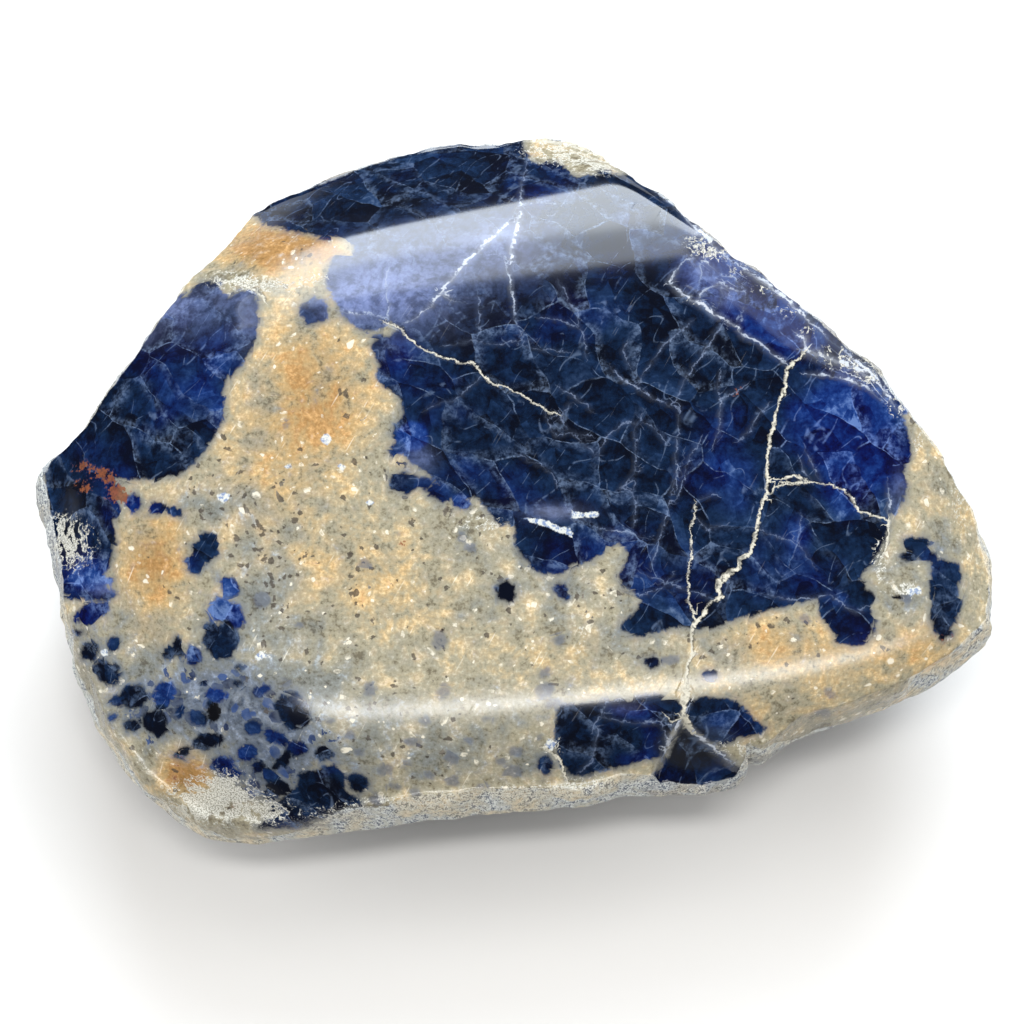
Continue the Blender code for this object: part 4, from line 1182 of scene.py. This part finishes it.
def stone_material():
    """Blue over matrix, the marks over both, and the rim over all; polished but for what
    is broken."""
    material = bpy.data.materials.new("sodalite_stone")
    material.use_nodes = True
    tree = material.node_tree
    shader = tree.nodes["Principled BSDF"]
    n = Nodes(tree)
    even = n.new("ShaderNodeAttribute", {}, attribute_name="even").outputs["Vector"]
    bent = n.new("ShaderNodeAttribute", {}, attribute_name="bent").outputs["Vector"]
    grain = n.noise(even, GRAIN_SCALE, 2.0, 0.7)
    mid = n.noise(bent, MID_SCALE, 3.0, 0.6)
    grit = n.noise(even, GRIT_SCALE, 1.0, 0.6)
    chips = n.cells(bent, CHIP_SCALE)
    down = n.field("down")

    blue = blue_colour(n, even, bent, grain, mid, chips)
    colour, scuff = matrix_colour(n, even, bent, grain, mid, chips)
    shake = n.sum(n.swing(mid, 8.0), n.swing(grain, 4.0))
    shake = n.sum(shake, n.swing(n.split(chips.outputs["Color"])[2], 5.0))
    edge = n.sum(n.field("blue"), shake)
    colour = n.mix(n.spread(edge, -9.0, 0.0, 0.0, 0.5), colour, BLUE_BORDER)
    hazy_mask = n.spread(n.sum(n.field("hazy"), shake), -2.0, 3.0, 0.0, 0.6)
    colour = n.mix(hazy_mask, colour, HAZY_CRYSTAL)
    blue_mask = n.spread(edge, -2.4, 1.6)
    colour = n.mix(blue_mask, colour, blue)
    colour, crack, crust = marked_colour(n, colour, shake, grain, mid, grit)

    start = n.sum(n.times(n.field("bare"), 0.9), 0.08)
    rim_mask = n.math("SUBTRACT", n.sum(down, n.swing(mid, 0.16)), start)
    rim_mask = n.spread(rim_mask, 0.0, 0.06)
    below = n.spread(down, 1.0, 1.0 + TAKE_OVER)
    rim = rim_colour(n, colour, grain, mid, grit)
    colour = n.mix(n.times(rim_mask, n.spread(below, 0.0, 1.0, 1.0, 0.45)), colour, rim)
    tree.links.new(colour, shader.inputs["Base Color"])

    polish = n.spread(blue_mask, 0.0, 1.0, MATRIX_ROUGHNESS, BLUE_ROUGHNESS)
    broken = n.high(n.high(rim_mask, n.times(crust, 0.9)), n.times(n.high(crack, scuff), 0.6))
    broken = n.high(broken, n.spread(n.field("dull"), 0.2, 0.6, 0.0, 0.9))
    roughness = n.sum(polish, n.times(broken, BROKEN_ROUGHNESS))
    tree.links.new(roughness, shader.inputs["Roughness"])
    shader.inputs["IOR"].default_value = STONE_IOR

    height = n.times(n.spread(down, 0.05, 0.20), n.times(grain, RIM_RELIEF))
    height = n.sum(height, n.spread(n.field("crack_gap"), 0.0, 2.5, 0.0, CRACK_RELIEF))
    bump = n.new("ShaderNodeBump", {"Height": n.times(height, MM), "Distance": 1.0,
                                    "Strength": 1.0})
    tree.links.new(bump.outputs["Normal"], shader.inputs["Normal"])
    return material


def floor_material():
    material = bpy.data.materials.new("floor")
    material.use_nodes = True
    shader = material.node_tree.nodes["Principled BSDF"]
    shader.inputs["Base Color"].default_value = FLOOR_COLOUR
    shader.inputs["Roughness"].default_value = 1.0
    shader.inputs["Specular IOR Level"].default_value = 0.0
    return material


def add_floor():
    bpy.ops.mesh.primitive_plane_add(size=6.0, location=(0.0, 0.0, 0.0))
    floor = bpy.context.object
    floor.name = "floor"
    floor.data.materials.append(floor_material())


def add_panel(name, turn, low, high, half_angle, radiance, colour=(1.0, 1.0, 1.0), shine=True):
    """A flat light panel seen from the stone: its compass direction, the heights of its
    lower and upper edge and half its width, all in degrees, how bright it looks, and
    whether it shows in reflections."""
    rise = math.radians((low + high) / 2)
    turn = math.radians(turn)
    towards = Vector((math.cos(turn) * math.cos(rise), math.sin(turn) * math.cos(rise),
                      math.sin(rise)))
    data = bpy.data.lights.new(name, "AREA")
    data.shape = "RECTANGLE"
    data.size = 2 * LIGHT_DISTANCE * math.tan(math.radians(half_angle))
    data.size_y = 2 * LIGHT_DISTANCE * math.tan(math.radians((high - low) / 2))
    data.energy = radiance * math.pi * data.size * data.size_y
    data.color = colour
    light = bpy.data.objects.new(name, data)
    light.visible_glossy = shine
    light.location = towards * LIGHT_DISTANCE
    light.rotation_euler = towards.to_track_quat("Z", "Y").to_euler()
    bpy.context.scene.collection.objects.link(light)


def add_lights():
    """A back window that is brightest low down, a strip lamp overhead and a room that is
    dark above and pale round the sides."""
    add_panel("window_low", 83.5, 25.0, 31.0, 19.5, 13.0, (0.86, 0.93, 1.0))
    add_panel("window_middle", 83.5, 31.0, 42.0, 19.5, 13.0, (0.86, 0.93, 1.0))
    add_panel("window_high", 83.5, 42.0, 52.0, 19.5, 5.8, (0.84, 0.91, 1.0))
    add_panel("strip_lamp", -90.0, 79.5, 86.5, 13.0, 19.5, (1.0, 0.99, 0.97))
    add_panel("left_wall", 190.0, 20.0, 60.0, 26.0, 2.8, shine=False)
    add_panel("right_wall", 8.0, 20.0, 60.0, 26.0, 2.0, shine=False)
    add_panel("back_fill", 86.0, 54.0, 76.0, 30.0, 1.4, shine=False)
    world = bpy.data.worlds.new("room")
    world.use_nodes = True
    background = world.node_tree.nodes["Background"]
    background.inputs["Strength"].default_value = 0.08
    background.inputs["Color"].default_value = (1.0, 0.99, 0.97, 1.0)
    bpy.context.scene.world = world


def add_camera():
    data = bpy.data.cameras.new("camera")
    data.sensor_width = SENSOR_MM
    data.lens = FOCAL_PIXELS * SENSOR_MM / FRAME_PIXELS
    data.clip_start = 0.01
    camera = bpy.data.objects.new("camera", data)
    rise = math.radians(CAMERA_ELEVATION)
    away = Vector((0.0, -math.cos(rise), math.sin(rise)))
    camera.location = (Vector(CAMERA_TARGET) + away * CAMERA_DISTANCE) * MM
    camera.rotation_euler = away.to_track_quat("Z", "Y").to_euler()
    bpy.context.scene.collection.objects.link(camera)
    bpy.context.scene.camera = camera


bpy.context.scene.view_settings.view_transform = "Standard"
stone = build_stone()
mark_stone(stone)
stone.data.materials.append(stone_material())
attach(stone, "root")
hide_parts("sodalite")
add_floor()
add_lights()
add_camera()
